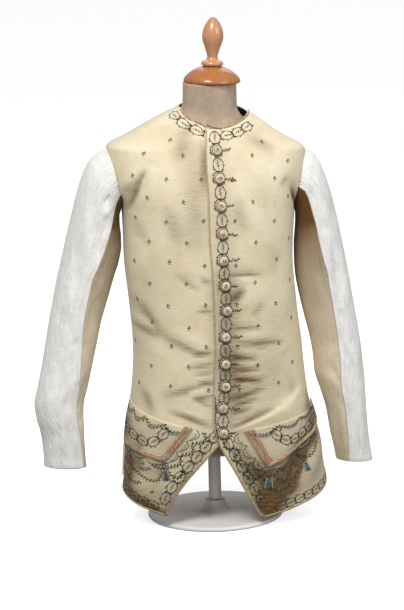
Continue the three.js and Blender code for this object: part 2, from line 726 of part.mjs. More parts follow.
function makeForm() {
  const rings = [];
  for (const { z, inset } of FORM_INSET) {
    const ring = [];
    for (let column = 0; column < FORM_COLUMNS; column += 1) {
      const angle = (column / FORM_COLUMNS) * 4 * QUARTER;
      const point = sectionPoint(bodySection(z), angle, z);
      ring.push(settle(point.addScaledVector(bodyNormal(angle, z), -inset)));
    }
    rings.push(ring);
  }
  for (const point of rings[0]) point.z = FORM_INSET[0].z;
  for (const section of FORM_NECK) {
    const ring = [];
    for (let column = 0; column < FORM_COLUMNS; column += 1) {
      const angle = (column / FORM_COLUMNS) * 4 * QUARTER;
      ring.push(settle(sectionPoint(section, angle, section.z)));
    }
    rings.push(ring);
  }
  for (const point of rings[rings.length - 1]) {
    point.z = NECK_LEAN.z - (point.x - NECK_LEAN.x) * Math.tan(NECK_LEAN.angle);
  }
  const points = rings.flat();
  const faces = [];
  for (let row = 0; row < rings.length - 1; row += 1) {
    for (let column = 0; column < FORM_COLUMNS; column += 1) {
      const next = (column + 1) % FORM_COLUMNS;
      const a = row * FORM_COLUMNS + column;
      const b = row * FORM_COLUMNS + next;
      faces.push([a, b, b + FORM_COLUMNS], [a, b + FORM_COLUMNS, a + FORM_COLUMNS]);
    }
  }
  const top = (rings.length - 1) * FORM_COLUMNS;
  for (let column = 1; column < FORM_COLUMNS - 1; column += 1) {
    faces.push([0, column + 1, column]);
    faces.push([top, top + column, top + column + 1]);
  }
  return meshOf('form_torso', points, faces, FORM_LINEN);
}

const neckTop = new THREE.Group();
neckTop.position.set(NECK_LEAN.x, 0, NECK_LEAN.z);
neckTop.rotation.y = NECK_LEAN.angle;
neckTop.add(lathe('neck_cap', CAP_PROFILE, WOOD, 28), lathe('finial', FINIAL_PROFILE, WOOD, 18));

const postProfile = [[0, POST.bottom], [POST.radius, POST.bottom], [POST.radius, POST.top], [0, POST.top]];

const waistcoat = new THREE.Group();
waistcoat.add(frontLeft.mesh, frontRight.mesh, ...backs, ...sleevePieces, ...flaps, ...buttons);
waistcoat.add(makeForm(), neckTop);
waistcoat.add(lathe('stand_post', postProfile, ENAMEL, 18), lathe('stand_base', BASE_PROFILE, ENAMEL, 32));

export default waistcoat;
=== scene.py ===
from math import atan2, cos, hypot, pi, radians, sin, sqrt, tan

import bpy
import numpy as np
from mathutils import Matrix, Vector


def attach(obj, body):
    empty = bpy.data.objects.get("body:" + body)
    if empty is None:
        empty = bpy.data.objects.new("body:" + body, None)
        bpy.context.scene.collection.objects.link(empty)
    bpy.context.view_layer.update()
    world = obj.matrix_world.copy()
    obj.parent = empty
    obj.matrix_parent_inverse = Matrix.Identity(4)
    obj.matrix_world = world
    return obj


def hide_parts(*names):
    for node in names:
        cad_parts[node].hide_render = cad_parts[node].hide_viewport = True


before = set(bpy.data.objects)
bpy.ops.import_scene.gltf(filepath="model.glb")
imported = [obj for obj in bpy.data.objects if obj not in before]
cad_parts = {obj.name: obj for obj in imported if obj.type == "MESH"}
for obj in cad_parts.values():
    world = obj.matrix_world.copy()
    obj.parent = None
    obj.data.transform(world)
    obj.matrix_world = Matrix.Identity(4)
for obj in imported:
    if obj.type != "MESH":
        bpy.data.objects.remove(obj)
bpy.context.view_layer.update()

# ------------------------------------------------------------------ camera, floor and light
# A studio still: a long lens a little above the chest and to the wearer's right, a plain
# pale floor that runs up into the white, and large soft lights.

LOOK_AT = Vector((-0.016, 0.0, 0.412))
TURN, RISE, ROLL = radians(-8), radians(12), radians(1.5)
DISTANCE = 5.0
PICTURE_HEIGHT, FOCAL_PIXELS, SENSOR = 610, 2631, 24.0

back = Vector((sin(TURN) * cos(RISE), -cos(TURN) * cos(RISE), sin(RISE)))
level_right = Vector((cos(TURN), sin(TURN), 0))
level_up = back.cross(level_right)
right = level_right * cos(ROLL) - level_up * sin(ROLL)
up = level_up * cos(ROLL) + level_right * sin(ROLL)
stand_at = LOOK_AT + DISTANCE * back
camera_data = bpy.data.cameras.new("camera")
camera_data.sensor_fit = "VERTICAL"
camera_data.sensor_height = SENSOR
camera_data.lens = FOCAL_PIXELS / PICTURE_HEIGHT * SENSOR
camera_data.clip_end = 60
camera = bpy.data.objects.new("camera", camera_data)
camera.matrix_world = Matrix([[right[i], up[i], back[i], stand_at[i]] for i in range(3)] + [[0, 0, 0, 1]])
bpy.context.collection.objects.link(camera)
bpy.context.scene.camera = camera
bpy.context.scene.view_settings.view_transform = "Standard"


def linear(hex_colour):
    """An sRGB hex value as linear red, green, blue and full alpha."""
    values = [int(hex_colour[i:i + 2], 16) / 255 for i in (1, 3, 5)]
    return [v / 12.92 if v <= 0.04045 else ((v + 0.055) / 1.055) ** 2.4 for v in values] + [1.0]


def add_node(tree, kind, inputs=None, **settings):
    """Adds one shader node with its settings, and its inputs as values or as links."""
    new = tree.nodes.new("ShaderNode" + kind)
    for name, value in settings.items():
        setattr(new, name, value)
    for name, value in (inputs or {}).items():
        if isinstance(value, bpy.types.NodeSocket):
            tree.links.new(value, new.inputs[name])
        else:
            new.inputs[name].default_value = value
    return new


def start_material(name, **shader):
    """A material with a Principled shader whose constant values are set on its sockets."""
    made = bpy.data.materials.new(name)
    made.use_nodes = True
    principled = made.node_tree.nodes["Principled BSDF"]
    for socket, value in shader.items():
        principled.inputs[socket.replace("_", " ")].default_value = value
    return made, made.node_tree, principled


def deselect_all():
    if bpy.context.object and bpy.context.object.mode != "OBJECT":
        bpy.ops.object.mode_set(mode="OBJECT")
    bpy.ops.object.select_all(action="DESELECT")


deselect_all()
bpy.ops.mesh.primitive_plane_add(size=24, location=(0, 2, 0))
floor = bpy.context.object
floor.name = "studio_floor"
# Matt white studio paper that looks nearly as bright as the air, yet throws little light up.
paper, paper_tree, paper_shader = start_material("studio_paper", Roughness=0.9)
paper_shader.inputs["Base Color"].default_value = linear("#F4F4F5")
paper_shader.inputs["Emission Color"].default_value = (1, 1, 1, 1)
paper_shader.inputs["Emission Strength"].default_value = 0.62
dim_paper = add_node(paper_tree, "BsdfDiffuse", {"Color": (0.32, 0.32, 0.31, 1)})
seen = add_node(paper_tree, "LightPath").outputs["Is Camera Ray"]
paper_mix = add_node(paper_tree, "MixShader", {0: seen, 1: dim_paper.outputs[0], 2: paper_shader.outputs[0]})
paper_tree.links.new(paper_mix.outputs[0], paper_tree.nodes["Material Output"].inputs["Surface"])
floor.data.materials.append(paper)

world = bpy.data.worlds.new("studio_air")
bpy.context.scene.world = world
world.use_nodes = True
air = world.node_tree.nodes["Background"]
air.inputs["Color"].default_value = (0.99, 0.995, 1.0, 1.0)
brightness = add_node(world.node_tree, "MapRange", {
    "Value": add_node(world.node_tree, "LightPath").outputs["Is Camera Ray"], "To Min": 0.38, "To Max": 1.0})
world.node_tree.links.new(brightness.outputs[0], air.inputs["Strength"])

for name, place, size, energy, tint in [
    ("key_light", (-0.9, -1.8, 3.1), 1.0, 79, (1.0, 0.985, 0.96)),
    ("fill_light", (2.2, -2.2, 2.0), 1.4, 40, (0.97, 0.985, 1.0)),
    ("back_light", (0.6, 2.6, 2.6), 2.0, 16, (1.0, 1.0, 1.0)),
]:
    lamp = bpy.data.lights.new(name, "AREA")
    lamp.size = size
    lamp.energy = energy
    lamp.color = tint
    light = bpy.data.objects.new(name, lamp)
    light.location = place
    light.rotation_euler = (Vector((0, 0, 0.45)) - Vector(place)).to_track_quat("-Z", "Y").to_euler()
    bpy.context.collection.objects.link(light)

# ------------------------------------------------------------------ stand
# A low round base and a post, turned steel under white stove enamel. The post rises into
# the form's underside and its foot stands in the base's boss.

MM = 0.001


def smooth_profile(profile, step):
    """A smooth curve through radius and height pairs, in points about step mm apart."""
    points = [np.array(p, float) for p in profile]
    points = [2 * points[0] - points[1]] + points + [2 * points[-1] - points[-2]]
    out = []
    for a, b, c, d in zip(points, points[1:], points[2:], points[3:]):
        count = max(1, round(float(np.linalg.norm(c - b)) / step))
        for i in range(count):
            t = i / count
            bend = 2 * b + (c - a) * t + (2 * a - 5 * b + 4 * c - d) * t * t
            out.append(tuple(0.5 * (bend + (3 * b - a - 3 * c + d) * t ** 3)))
    return out + [tuple(profile[-1])]


def turned(name, profile, sides, at=(0, 0, 0)):
    """A turned piece: a disc, extruded and scaled ring by ring up its profile in mm."""
    deselect_all()
    (first, low), *rest = profile
    centre = Vector(at)
    bpy.ops.mesh.primitive_circle_add(vertices=sides, radius=first * MM, fill_type="NGON",
                                      location=centre + Vector((0, 0, low * MM)))
    piece = bpy.context.object
    piece.name = name
    bpy.ops.object.transform_apply(location=True, rotation=True, scale=True)
    bpy.ops.object.mode_set(mode="EDIT")
    bpy.ops.mesh.select_mode(type="FACE")
    bpy.ops.mesh.select_all(action="SELECT")
    radius, height = first, low
    for next_radius, next_height in rest:
        bpy.ops.mesh.extrude_region_move(
            TRANSFORM_OT_translate={"value": (0, 0, (next_height - height) * MM)})
        ratio = max(next_radius, 0.05) / radius
        bpy.ops.transform.resize(value=(ratio, ratio, 1),
                                 center_override=centre + Vector((0, 0, next_height * MM)))
        radius, height = max(next_radius, 0.05), next_height
    bpy.ops.mesh.select_all(action="SELECT")
    bpy.ops.mesh.normals_make_consistent(inside=False)
    bpy.ops.object.mode_set(mode="OBJECT")
    bpy.ops.object.shade_smooth_by_angle(angle=radians(40))
    return piece


# Stove enamel: white, hard and glossy, a few tenths of a millimetre of it, so its edges are soft.
enamel, enamel_tree, enamel_shader = start_material(
    "white_stove_enamel", Roughness=0.32, Coat_Weight=0.4, Coat_Roughness=0.15)
place = add_node(enamel_tree, "TexCoord").outputs["Object"]
orange_peel = add_node(enamel_tree, "TexNoise", {"Vector": place, "Scale": 260.0, "Detail": 2.0})
age = add_node(enamel_tree, "TexNoise", {"Vector": place, "Scale": 18.0, "Detail": 4.0})
enamel_colour = add_node(enamel_tree, "ValToRGB", {"Fac": age.outputs["Fac"]})
enamel_colour.color_ramp.elements[0].color = linear("#E9E7E1")
enamel_colour.color_ramp.elements[1].color = linear("#F6F5F2")
enamel_bump = add_node(enamel_tree, "Bump", {"Height": orange_peel.outputs["Fac"], "Strength": 0.06,
                                             "Distance": 0.0004})
enamel_tree.links.new(enamel_colour.outputs["Color"], enamel_shader.inputs["Base Color"])
enamel_tree.links.new(enamel_bump.outputs["Normal"], enamel_shader.inputs["Normal"])

BASE_PROFILE = [(127.4, 0), (128.8, 0.7), (129.9, 2.4), (130, 5), (129.2, 7), (127, 8)]
BASE_PROFILE += smooth_profile([(120, 8.2), (80, 9), (36, 10.6), (25, 15), (19.6, 22), (18.6, 28)], 3)
BASE_PROFILE += [(18.2, 29.4), (17.2, 30)]
for name, profile, sides in [
    ("stand_base", BASE_PROFILE, 128),
    ("stand_post", [(11.4, 30.3), (12, 31), (12, 139), (11.4, 139.6)], 48),
]:
    piece = turned(name + "_turned", profile, sides)
    piece.data.materials.append(enamel)
    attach(piece, "root")
    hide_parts(name)

# ------------------------------------------------------------------ dress form
# A padded papier-mache torso with no limbs, covered in natural linen that is stretched
# smooth and sewn down the middle front and back. It is cut off flat under the hips.


def rows(names, *lines):
    """A small table as one array for each named column."""
    return {name: np.array(column, float) for name, column in zip(names.split(), zip(*lines))}


# The garment's sections, which the form follows inside: middle, half width, depth in front
# and behind, and squareness, at each height in mm.
BODY = rows(
    "z middle half front back square",
    (10, 19, 205, 119, 134, 2.15), (60, 19, 199, 120, 131, 2.15), (134, 15, 190, 122, 124, 2.2),
    (200, 14, 181, 122, 115, 2.2), (250, 13, 169, 121, 107, 2.2), (325, 12, 162, 118, 95, 2.25),
    (415, 5, 159.5, 114, 89, 2.3), (515, -2, 160, 115, 96, 2.35), (600, 0, 163.5, 113, 104, 2.35),
    (640, -1, 177, 108, 105, 2.3), (680, -1.5, 186, 98, 102, 2.3), (714, -1.5, 187, 86, 96, 2.3),
    (740, 4, 146, 75, 88, 2.25), (760, 8, 112, 63.5, 78, 2.2), (775, 11, 87, 56, 68, 2.1),
    (790, 14, 63.5, 46, 57, 2), (806, 15, 54, 38, 50, 2))
DROP = rows("z slope", (0, 0.02), (350, 0.025), (560, 0.045), (714, 0.045), (790, 0.11),
            (806, 0.05), (836, 0))


def read(table, column, at, key="z"):
    """A smooth monotone curve through a table's column, at one place or at many."""
    x, y = table[key], table[column]
    if x[0] > x[-1]:
        x, y = x[::-1], y[::-1]
    span = np.diff(x)
    slope = np.diff(y) / span
    product = slope[:-1] * slope[1:]
    total = slope[:-1] + slope[1:]
    inner = np.where(product > 0, 2 * product / np.where(total == 0, 1, total), 0)
    tangent = np.concatenate([slope[:1], inner, slope[-1:]])
    at = np.clip(np.asarray(at, float), x[0], x[-1])
    i = np.clip(np.searchsorted(x, at) - 1, 0, len(x) - 2)
    t = (at - x[i]) / span[i]
    rise = y[i + 1] - y[i]
    bend = 3 * rise - span[i] * (2 * tangent[i] + tangent[i + 1])
    twist = -2 * rise + span[i] * (tangent[i] + tangent[i + 1])
    return y[i] + t * (span[i] * tangent[i] + t * (bend + t * twist))


def section_point(section, angle, z):
    """Points of rounded sections, the angle counted from the middle front towards +X."""
    across, along, square = np.sin(angle), np.cos(angle), section["square"]
    reach = (np.abs(across) ** square + np.abs(along) ** square) ** (-1 / square)
    depth = np.where(along > 0, section["front"], section["back"])
    return np.stack(np.broadcast_arrays(section["middle"] + section["half"] * reach * across,
                                        -depth * reach * along, z), -1)


FINE_Z = np.arange(10, 806.5, 0.5)
FINE = {column: read(BODY, column, FINE_Z) for column in BODY if column != "z"}


def body_section(z):
    return {column: np.interp(z, FINE_Z, fine) for column, fine in FINE.items()}


def body_normal(angle, z):
    step, rise = 0.02, 2
    section = body_section(z)
    around = section_point(section, angle + step, z) - section_point(section, angle - step, z)
    upward = (section_point(body_section(z + rise), angle, z + rise)
              - section_point(body_section(z - rise), angle, z - rise))
    normal = np.cross(around, upward)
    return normal / np.linalg.norm(normal, axis=-1, keepdims=True)


def settle(points):
    """The garment sits lower on the wearer's left."""
    points[..., 2] -= read(DROP, "slope", points[..., 2]) * points[..., 0]
    return points


def put_mesh(name, points, faces, flat=None):
    """A mesh of points in mm and faces, with a flat layout in mm as its UV map."""
    mesh = bpy.data.meshes.new(name)
    mesh.from_pydata((np.asarray(points) * MM).tolist(), [], faces)
    if flat is not None:
        layer = mesh.uv_layers.new(name="flat")
        order = np.zeros(len(mesh.loops), int)
        mesh.loops.foreach_get("vertex_index", order)
        layer.data.foreach_set("uv", (np.asarray(flat)[order] * MM).ravel())
    mesh.shade_smooth()
    piece = bpy.data.objects.new(name, mesh)
    bpy.context.collection.objects.link(piece)
    return piece


FORM_INSET = rows("z inset", (140, 20), (185, 16), (240, 11), (320, 8), (420, 7.5), (500, 7), (570, 9),
                  (620, 12), (660, 12), (688, 8), (704, 4.8), (716, 4.3), (730, 4), (745, 4))
FORM_NECK = rows("z middle half front back square", (757, 7.5, 104, 57, 70, 2.15),
                 (768, 8, 80, 51, 60, 2.05), (780, 8.5, 59, 48.5, 52, 2), (796, 8.5, 51, 48, 49, 2),
                 (836, 9, 50, 47.5, 47.5, 2))
NECK_TOP = Vector((13.6, 0, 836))
NECK_LEAN = 0.044
FORM_SIDES = 160

around = np.arange(FORM_SIDES) / FORM_SIDES * 2 * pi
rings = []
for z in np.concatenate([np.linspace(140, 745, 120)]):
    inset = read(FORM_INSET, "inset", z)
    ring = section_point(body_section(z), around, z) - inset * body_normal(around, z)
    rings.append(settle(ring))
torso_top = rings[-1]
neck_base = settle(section_point({c: read(FORM_NECK, c, 757) for c in FORM_NECK if c != "z"}, around, 757))
for t in (1 / 3, 2 / 3):
    rings.append(torso_top + (neck_base - torso_top) * t)
for z in np.concatenate([np.linspace(757, 796, 14), np.linspace(799, 836, 13)]):
    rings.append(settle(section_point({c: read(FORM_NECK, c, z) for c in FORM_NECK if c != "z"}, around, z)))
underside = rings[0].copy()
underside[:, 2] = 140
rings[0] = underside
for ring in rings[1:]:
    for column in (0, FORM_SIDES // 2):
        ring[column, 1] *= 0.985
top = rings[-1]
top[:, 2] = NECK_TOP.z - (top[:, 0] - NECK_TOP.x) * tan(NECK_LEAN)
form_rings = [r for r in [underside * (0.02, 0.02, 1), underside * (0.5, 0.5, 1), underside * (0.97, 0.97, 1)]]
form_rings += rings
centre = top.mean(0)
form_rings += [centre + (top - centre) * k for k in (0.96, 0.5, 0.02)]
count = len(form_rings)
form_points = np.concatenate(form_rings)
form_faces = [(r * FORM_SIDES + c, r * FORM_SIDES + (c + 1) % FORM_SIDES,
               (r + 1) * FORM_SIDES + (c + 1) % FORM_SIDES, (r + 1) * FORM_SIDES + c)
              for r in range(count - 1) for c in range(FORM_SIDES)]
form_faces.append(tuple(range(FORM_SIDES))[::-1])
form_faces.append(tuple((count - 1) * FORM_SIDES + c for c in range(FORM_SIDES)))
form_flat = np.stack([np.tile(around * 100, count), form_points[:, 2]], -1)
form = put_mesh("form_torso_linen", form_points, form_faces, form_flat)


def weave(tree, flat, spacing, slub, seed=0.0):
    """Plain weave: warp and weft waves at a spacing in mm, uneven as hand-spun yarn is."""
    wander = add_node(tree, "TexNoise", {"Vector": flat, "Scale": 1000 / (spacing * 14), "Detail": 3.0})
    shift = add_node(tree, "VectorMath", {0: wander.outputs["Color"], 1: (slub, slub, 0)},
                     operation="MULTIPLY")
    moved = add_node(tree, "VectorMath", {0: flat, 1: shift.outputs[0]}, operation="ADD")
    scale = 1000 / spacing * 2 * pi / 20
    waves = [add_node(tree, "TexWave", {"Vector": moved.outputs[0], "Scale": scale, "Distortion": 0.0},
                      wave_type="BANDS", bands_direction=way) for way in "XY"]
    return add_node(tree, "Math", {0: waves[0].outputs["Fac"], 1: waves[1].outputs["Fac"]},
                    operation="MULTIPLY")


def cloth_material(name, light, shade, spacing, slub, depth, mottle, roughness, sheen, stain=None, painted_shade_and_browning=None,
                   crumple=(0.3, 20, 60), pulls=0):
    """Woven cloth: two tones mottled over mottle mm, a weave raised by depth in mm, and crumples
    of a depth, breadth and length in mm. Where a point's attribute asks, its colour is multiplied towards the brown
    given for it: painted shade, with some browning of age; there it also has small pulls, to pulls mm."""
    made, tree, shader = start_material(name, Roughness=roughness, Sheen_Weight=sheen,
                                        Sheen_Roughness=0.45, Specular_IOR_Level=0.28)
    flat = add_node(tree, "UVMap", uv_map="flat").outputs["UV"]
    cloudy = add_node(tree, "TexNoise", {"Vector": flat, "Scale": 1000 / mottle, "Detail": 5.0,
                                         "Roughness": 0.62})
    tone = add_node(tree, "ValToRGB", {"Fac": cloudy.outputs["Fac"]})
    tone.color_ramp.elements[0].position, tone.color_ramp.elements[1].position = 0.32, 0.68
    tone.color_ramp.elements[0].color = linear(shade)
    tone.color_ramp.elements[1].color = linear(light)
    threads = weave(tree, flat, spacing, slub)
    streak_place = add_node(tree, "Mapping", {"Vector": flat, "Scale": (1000 / 2.2, 1000 / 30, 1)})
    streak = add_node(tree, "TexNoise", {"Vector": streak_place.outputs[0], "Scale": 1.0, "Detail": 3.0})
    cross_place = add_node(tree, "Mapping", {"Vector": flat, "Scale": (1000 / 26, 1000 / 2.0, 1)})
    cross = add_node(tree, "TexNoise", {"Vector": cross_place.outputs[0], "Scale": 1.0, "Detail": 3.0})
    both = add_node(tree, "Math", {0: streak.outputs["Fac"], 1: cross.outputs["Fac"]}, operation="ADD")
    slubs = add_node(tree, "MapRange", {"Value": both.outputs[0], "From Min": 0.75, "From Max": 1.25,
                                        "To Min": 1.0 - slub * 40, "To Max": 1.0 + slub * 25})
    shaded = add_node(tree, "VectorMath", {0: tone.outputs["Color"], "Scale": slubs.outputs[0]},
                      operation="SCALE")
    colour = shaded.outputs[0]
    if stain:
        spots = add_node(tree, "TexNoise", {"Vector": flat, "Scale": 1000 / 38, "Detail": 6.0,
                                            "Roughness": 0.7, "Distortion": 0.4})
        amount = add_node(tree, "MapRange", {"Value": spots.outputs["Fac"], "From Min": 0.56,
                                             "From Max": 0.74, "To Min": 0.0, "To Max": 0.42})
        colour = add_node(tree, "Mix", {0: amount.outputs[0], 6: colour, 7: linear(stain)},
                          data_type="RGBA").outputs[2]
    # the colour multiplied towards a brown by the point attribute: painted shade of hollows and creases, with some
    # browning of age
    if painted_shade_and_browning:
        painted_shade_and_browning_mask = add_node(tree, "Attribute", attribute_name="painted_shade_and_browning").outputs["Fac"]
        patchy = add_node(tree, "Math", {0: cloudy.outputs["Fac"], 1: 0.9, 2: 0.55}, operation="MULTIPLY_ADD")
        amount = add_node(tree, "Math", {0: painted_shade_and_browning_mask, 1: patchy.outputs[0]}, operation="MULTIPLY", use_clamp=True)
        colour = add_node(tree, "Mix", {0: amount.outputs[0], 6: colour, 7: linear(painted_shade_and_browning)},
                          data_type="RGBA", blend_type="MULTIPLY").outputs[2]
    tree.links.new(colour, shader.inputs["Base Color"])
    relief = add_node(tree, "Math", {0: threads.outputs[0], 1: both.outputs[0]}, operation="ADD")
    deep, broad, long = crumple
    crumple_place = add_node(tree, "Mapping", {"Vector": flat, "Rotation": (0, 0, 0.3),
                                               "Scale": (1000 / broad, 1000 / long, 1)})
    crumples = add_node(tree, "TexNoise", {"Vector": crumple_place.outputs[0], "Scale": 1.0, "Detail": 3.5,
                                           "Roughness": 0.5, "Distortion": 1.2})
    soft = add_node(tree, "Bump", {"Height": crumples.outputs["Fac"], "Strength": 1.0, "Distance": deep * MM})
    if pulls:
        pull_place = add_node(tree, "Mapping", {"Vector": flat, "Rotation": (0, 0, 0.1), "Scale": (1000 / 34, 1000 / 13, 1)})
        small_pulls = add_node(tree, "TexNoise", {"Vector": pull_place.outputs[0], "Scale": 1.0, "Detail": 3.0,
                                                  "Roughness": 0.5, "Distortion": 1.8})
        pulled = add_node(tree, "Math", {0: small_pulls.outputs["Fac"], 1: painted_shade_and_browning_mask}, operation="MULTIPLY")
        soft = add_node(tree, "Bump", {"Height": pulled.outputs[0], "Strength": 1.0, "Distance": pulls * MM,
                                       "Normal": soft.outputs["Normal"]})
    bump = add_node(tree, "Bump", {"Height": relief.outputs[0], "Strength": 1.0, "Distance": depth * MM,
                                   "Normal": soft.outputs["Normal"]})
    tree.links.new(bump.outputs["Normal"], shader.inputs["Normal"])
    return made


# Natural flax linen, washed and a little greyed, stretched tight: matt, with fine slubs.
form_linen = cloth_material("natural_linen_cover", "#BCAA95", "#A8937D", 1.5, 0.0035, 0.10, 60, 0.9, 0.12,
                            stain="#A89680")
form.data.materials.append(form_linen)
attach(form, "root")
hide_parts("form_torso")

# ------------------------------------------------------------------ neck cap and finial
# Beech turned on a lathe, stained honey brown and varnished: a low dome on the neck, then
# a collar and a bulb. The grain runs up the finial and across the cap.

CAP_PROFILE = [(50.2, 0.4), (51.6, 0.9)] + smooth_profile(
    [(52.9, 2.4), (53.2, 4), (52.6, 6.4), (50.6, 9.6), (45.6, 15), (37, 21.4), (26, 27.2), (19, 29.6)], 1.6)
CAP_PROFILE += [(16, 30.9), (8, 31.4), (0, 31.4)]
FINIAL_PROFILE = [(19, 32)] + smooth_profile(
    [(20.3, 33.4), (20.6, 35.6), (19.4, 38.6), (15.6, 40.8), (11.6, 42.6), (9.8, 46), (9.7, 49), (11.4, 56),
     (15, 67), (18.4, 77), (19.7, 86), (18.4, 97), (14.2, 108), (9, 116), (4.4, 120.6), (1.2, 122.1)], 1.5)
FINIAL_PROFILE += [(0, 122.2)]


def wood_material(name, light, dark, ring_spacing, stretch):
    """Varnished beech: growth rings at a spacing in mm and short dark flecks, under a clear coat."""
    made, tree, shader = start_material(name, Roughness=0.4, Coat_Weight=0.8, Coat_Roughness=0.13,
                                        Specular_IOR_Level=0.4)
    place = add_node(tree, "TexCoord").outputs["Object"]
    bent = add_node(tree, "Mapping", {"Vector": place, "Rotation": (0.12, 0.1, 0.3), "Scale": stretch})
    warp = add_node(tree, "TexNoise", {"Vector": bent.outputs[0], "Scale": 26.0, "Detail": 3.0})
    grain = add_node(tree, "TexWave", {"Vector": bent.outputs[0], "Scale": 1000 / ring_spacing * 2 * pi / 20,
                                       "Distortion": 3.2, "Detail": 2.0, "Detail Scale": 1.4},
                     wave_type="BANDS", bands_direction="X")
    fleck_place = add_node(tree, "Mapping", {"Vector": place, "Scale": (900, 900, 110)})
    fleck = add_node(tree, "TexNoise", {"Vector": fleck_place.outputs[0], "Scale": 1.0, "Detail": 2.0})
    mixed = add_node(tree, "Math", {0: grain.outputs["Fac"], 1: 0.34, 2: warp.outputs["Fac"]},
                     operation="MULTIPLY_ADD")
    tone = add_node(tree, "ValToRGB", {"Fac": mixed.outputs[0]})
    tone.color_ramp.elements[0].position, tone.color_ramp.elements[1].position = 0.3, 0.9
    tone.color_ramp.elements[0].color = linear(dark)
    tone.color_ramp.elements[1].color = linear(light)
    flecked = add_node(tree, "MapRange", {"Value": fleck.outputs["Fac"], "From Min": 0.62, "From Max": 0.74,
                                       "To Min": 0.0, "To Max": 0.3})
    colour = add_node(tree, "Mix", {0: flecked.outputs[0], 6: tone.outputs["Color"], 7: linear("#8A4A20")},
                      data_type="RGBA")
    tree.links.new(colour.outputs[2], shader.inputs["Base Color"])
    tooling = add_node(tree, "Bump", {"Height": fleck.outputs["Fac"], "Strength": 0.15, "Distance": 0.0002})
    tree.links.new(tooling.outputs["Normal"], shader.inputs["Normal"])
    return made


# The finial's tones are lighter than the cap's, though both are one beech: a painted highlight on the finial.
for name, profile, sides, light, dark, ring_spacing, stretch in [
    ("neck_cap", CAP_PROFILE, 96, "#B5723A", "#A4602C", 7.0, (1, 0.35, 1)),
    ("finial", FINIAL_PROFILE, 72, "#CB946A", "#BC8258", 6.0, (1, 1, 0.16)),
]:
    piece = turned(name + "_turned", profile, sides, at=NECK_TOP * MM)
    piece.data.transform(Matrix.Translation(NECK_TOP * MM) @ Matrix.Rotation(NECK_LEAN, 4, "Y")
                         @ Matrix.Translation(-NECK_TOP * MM))
    piece.data.materials.append(wood_material("varnished_beech_" + name, light, dark, ring_spacing, stretch))
    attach(piece, "root")
    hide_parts(name)

# ------------------------------------------------------------------ backs
# Two plain linen halves sewn together down the middle back, shorter than the fronts and
# slit from them at the hips. A cloth wall is silk and lining together, 1.6 mm.

CLOTH = 1.6
SEAM = 0.18
ARMHOLE = rows("z front back", (714, 90, 90), (709, 81.5, 98), (700, 74, 105), (688, 69.5, 110),
               (674, 67.2, 112.5), (659, 66.6, 113.5), (644, 67.6, 113), (630, 70.5, 110.5),
               (618, 75.5, 105.5), (608, 82.5, 98), (600, 90, 90))
SKIRT_LEVELS = [(56, 84), (90, 107), (120, 130), (144, 150), (167, 170), (190, 191), (214, 214), (240, 240),
                (268, 268), (300, 300), (335, 335), (372, 372), (410, 410), (450, 450), (490, 490),
                (530, 530), (567, 567)]
SHOULDER_LEVELS = [730, 746, 761, 776, 788]
SHOULDER_TIP, SHOULDER_POINT = 714, 790

# The largest folds of the body, shared with the form of the solids: a soft ridge (+) or
# trough (-) between two points, with its height and half breadth.
FOLDS = rows(
    "x1 z1 x2 z2 rise breadth",
    (-122, 688, -160, 620, -7, 13), (-138, 676, -166, 640, 6, 13), (152, 668, 158, 612, -5, 12),
    (-100, 236, -20, 192, -3, 14), (46, 196, 150, 236, 3.5, 15), (46, 222, 160, 262, -2.5, 15),
    (184, 225, 128, 84, -7, 20), (206, 170, 166, 66, 5, 18), (-172, 140, -128, 76, -5, 16),
    (-150, 424, -92, 338, -3.5, 17), (25, 494, 92, 478, -2.5, 16))


def fold_rise(table, x, z, ends=0.35):
    """The height of a table of folds at points, each fullest in the middle of its run."""
    total = np.zeros(np.broadcast(x, z).shape)
    for x1, z1, x2, z2, rise, breadth in zip(*(table[c] for c in "x1 z1 x2 z2 rise breadth".split())):
        run_x, run_z = x2 - x1, z2 - z1
        t = np.clip(((x - x1) * run_x + (z - z1) * run_z) / (run_x ** 2 + run_z ** 2), 0, 1)
        away = np.hypot(x - x1 - run_x * t, z - z1 - run_z * t)
        total += rise * (ends + (1 - ends) * np.sin(pi * t)) * np.exp(-(away / breadth) ** 2)
    return total


def body_point(angle, z, out, creases=None):
    """Points of the garment's body, moved out by its folds and by out, in mm."""
    base = section_point(body_section(z), angle, z)
    folds = np.where(np.abs(angle) < pi / 2 * 1.1, fold_rise(FOLDS, base[..., 0], z), 0)
    if creases is not None:
        folds = folds + fold_rise(creases, base[..., 0], z, ends=0.0)
    return settle(base + body_normal(angle, z) * (out + folds)[..., None])


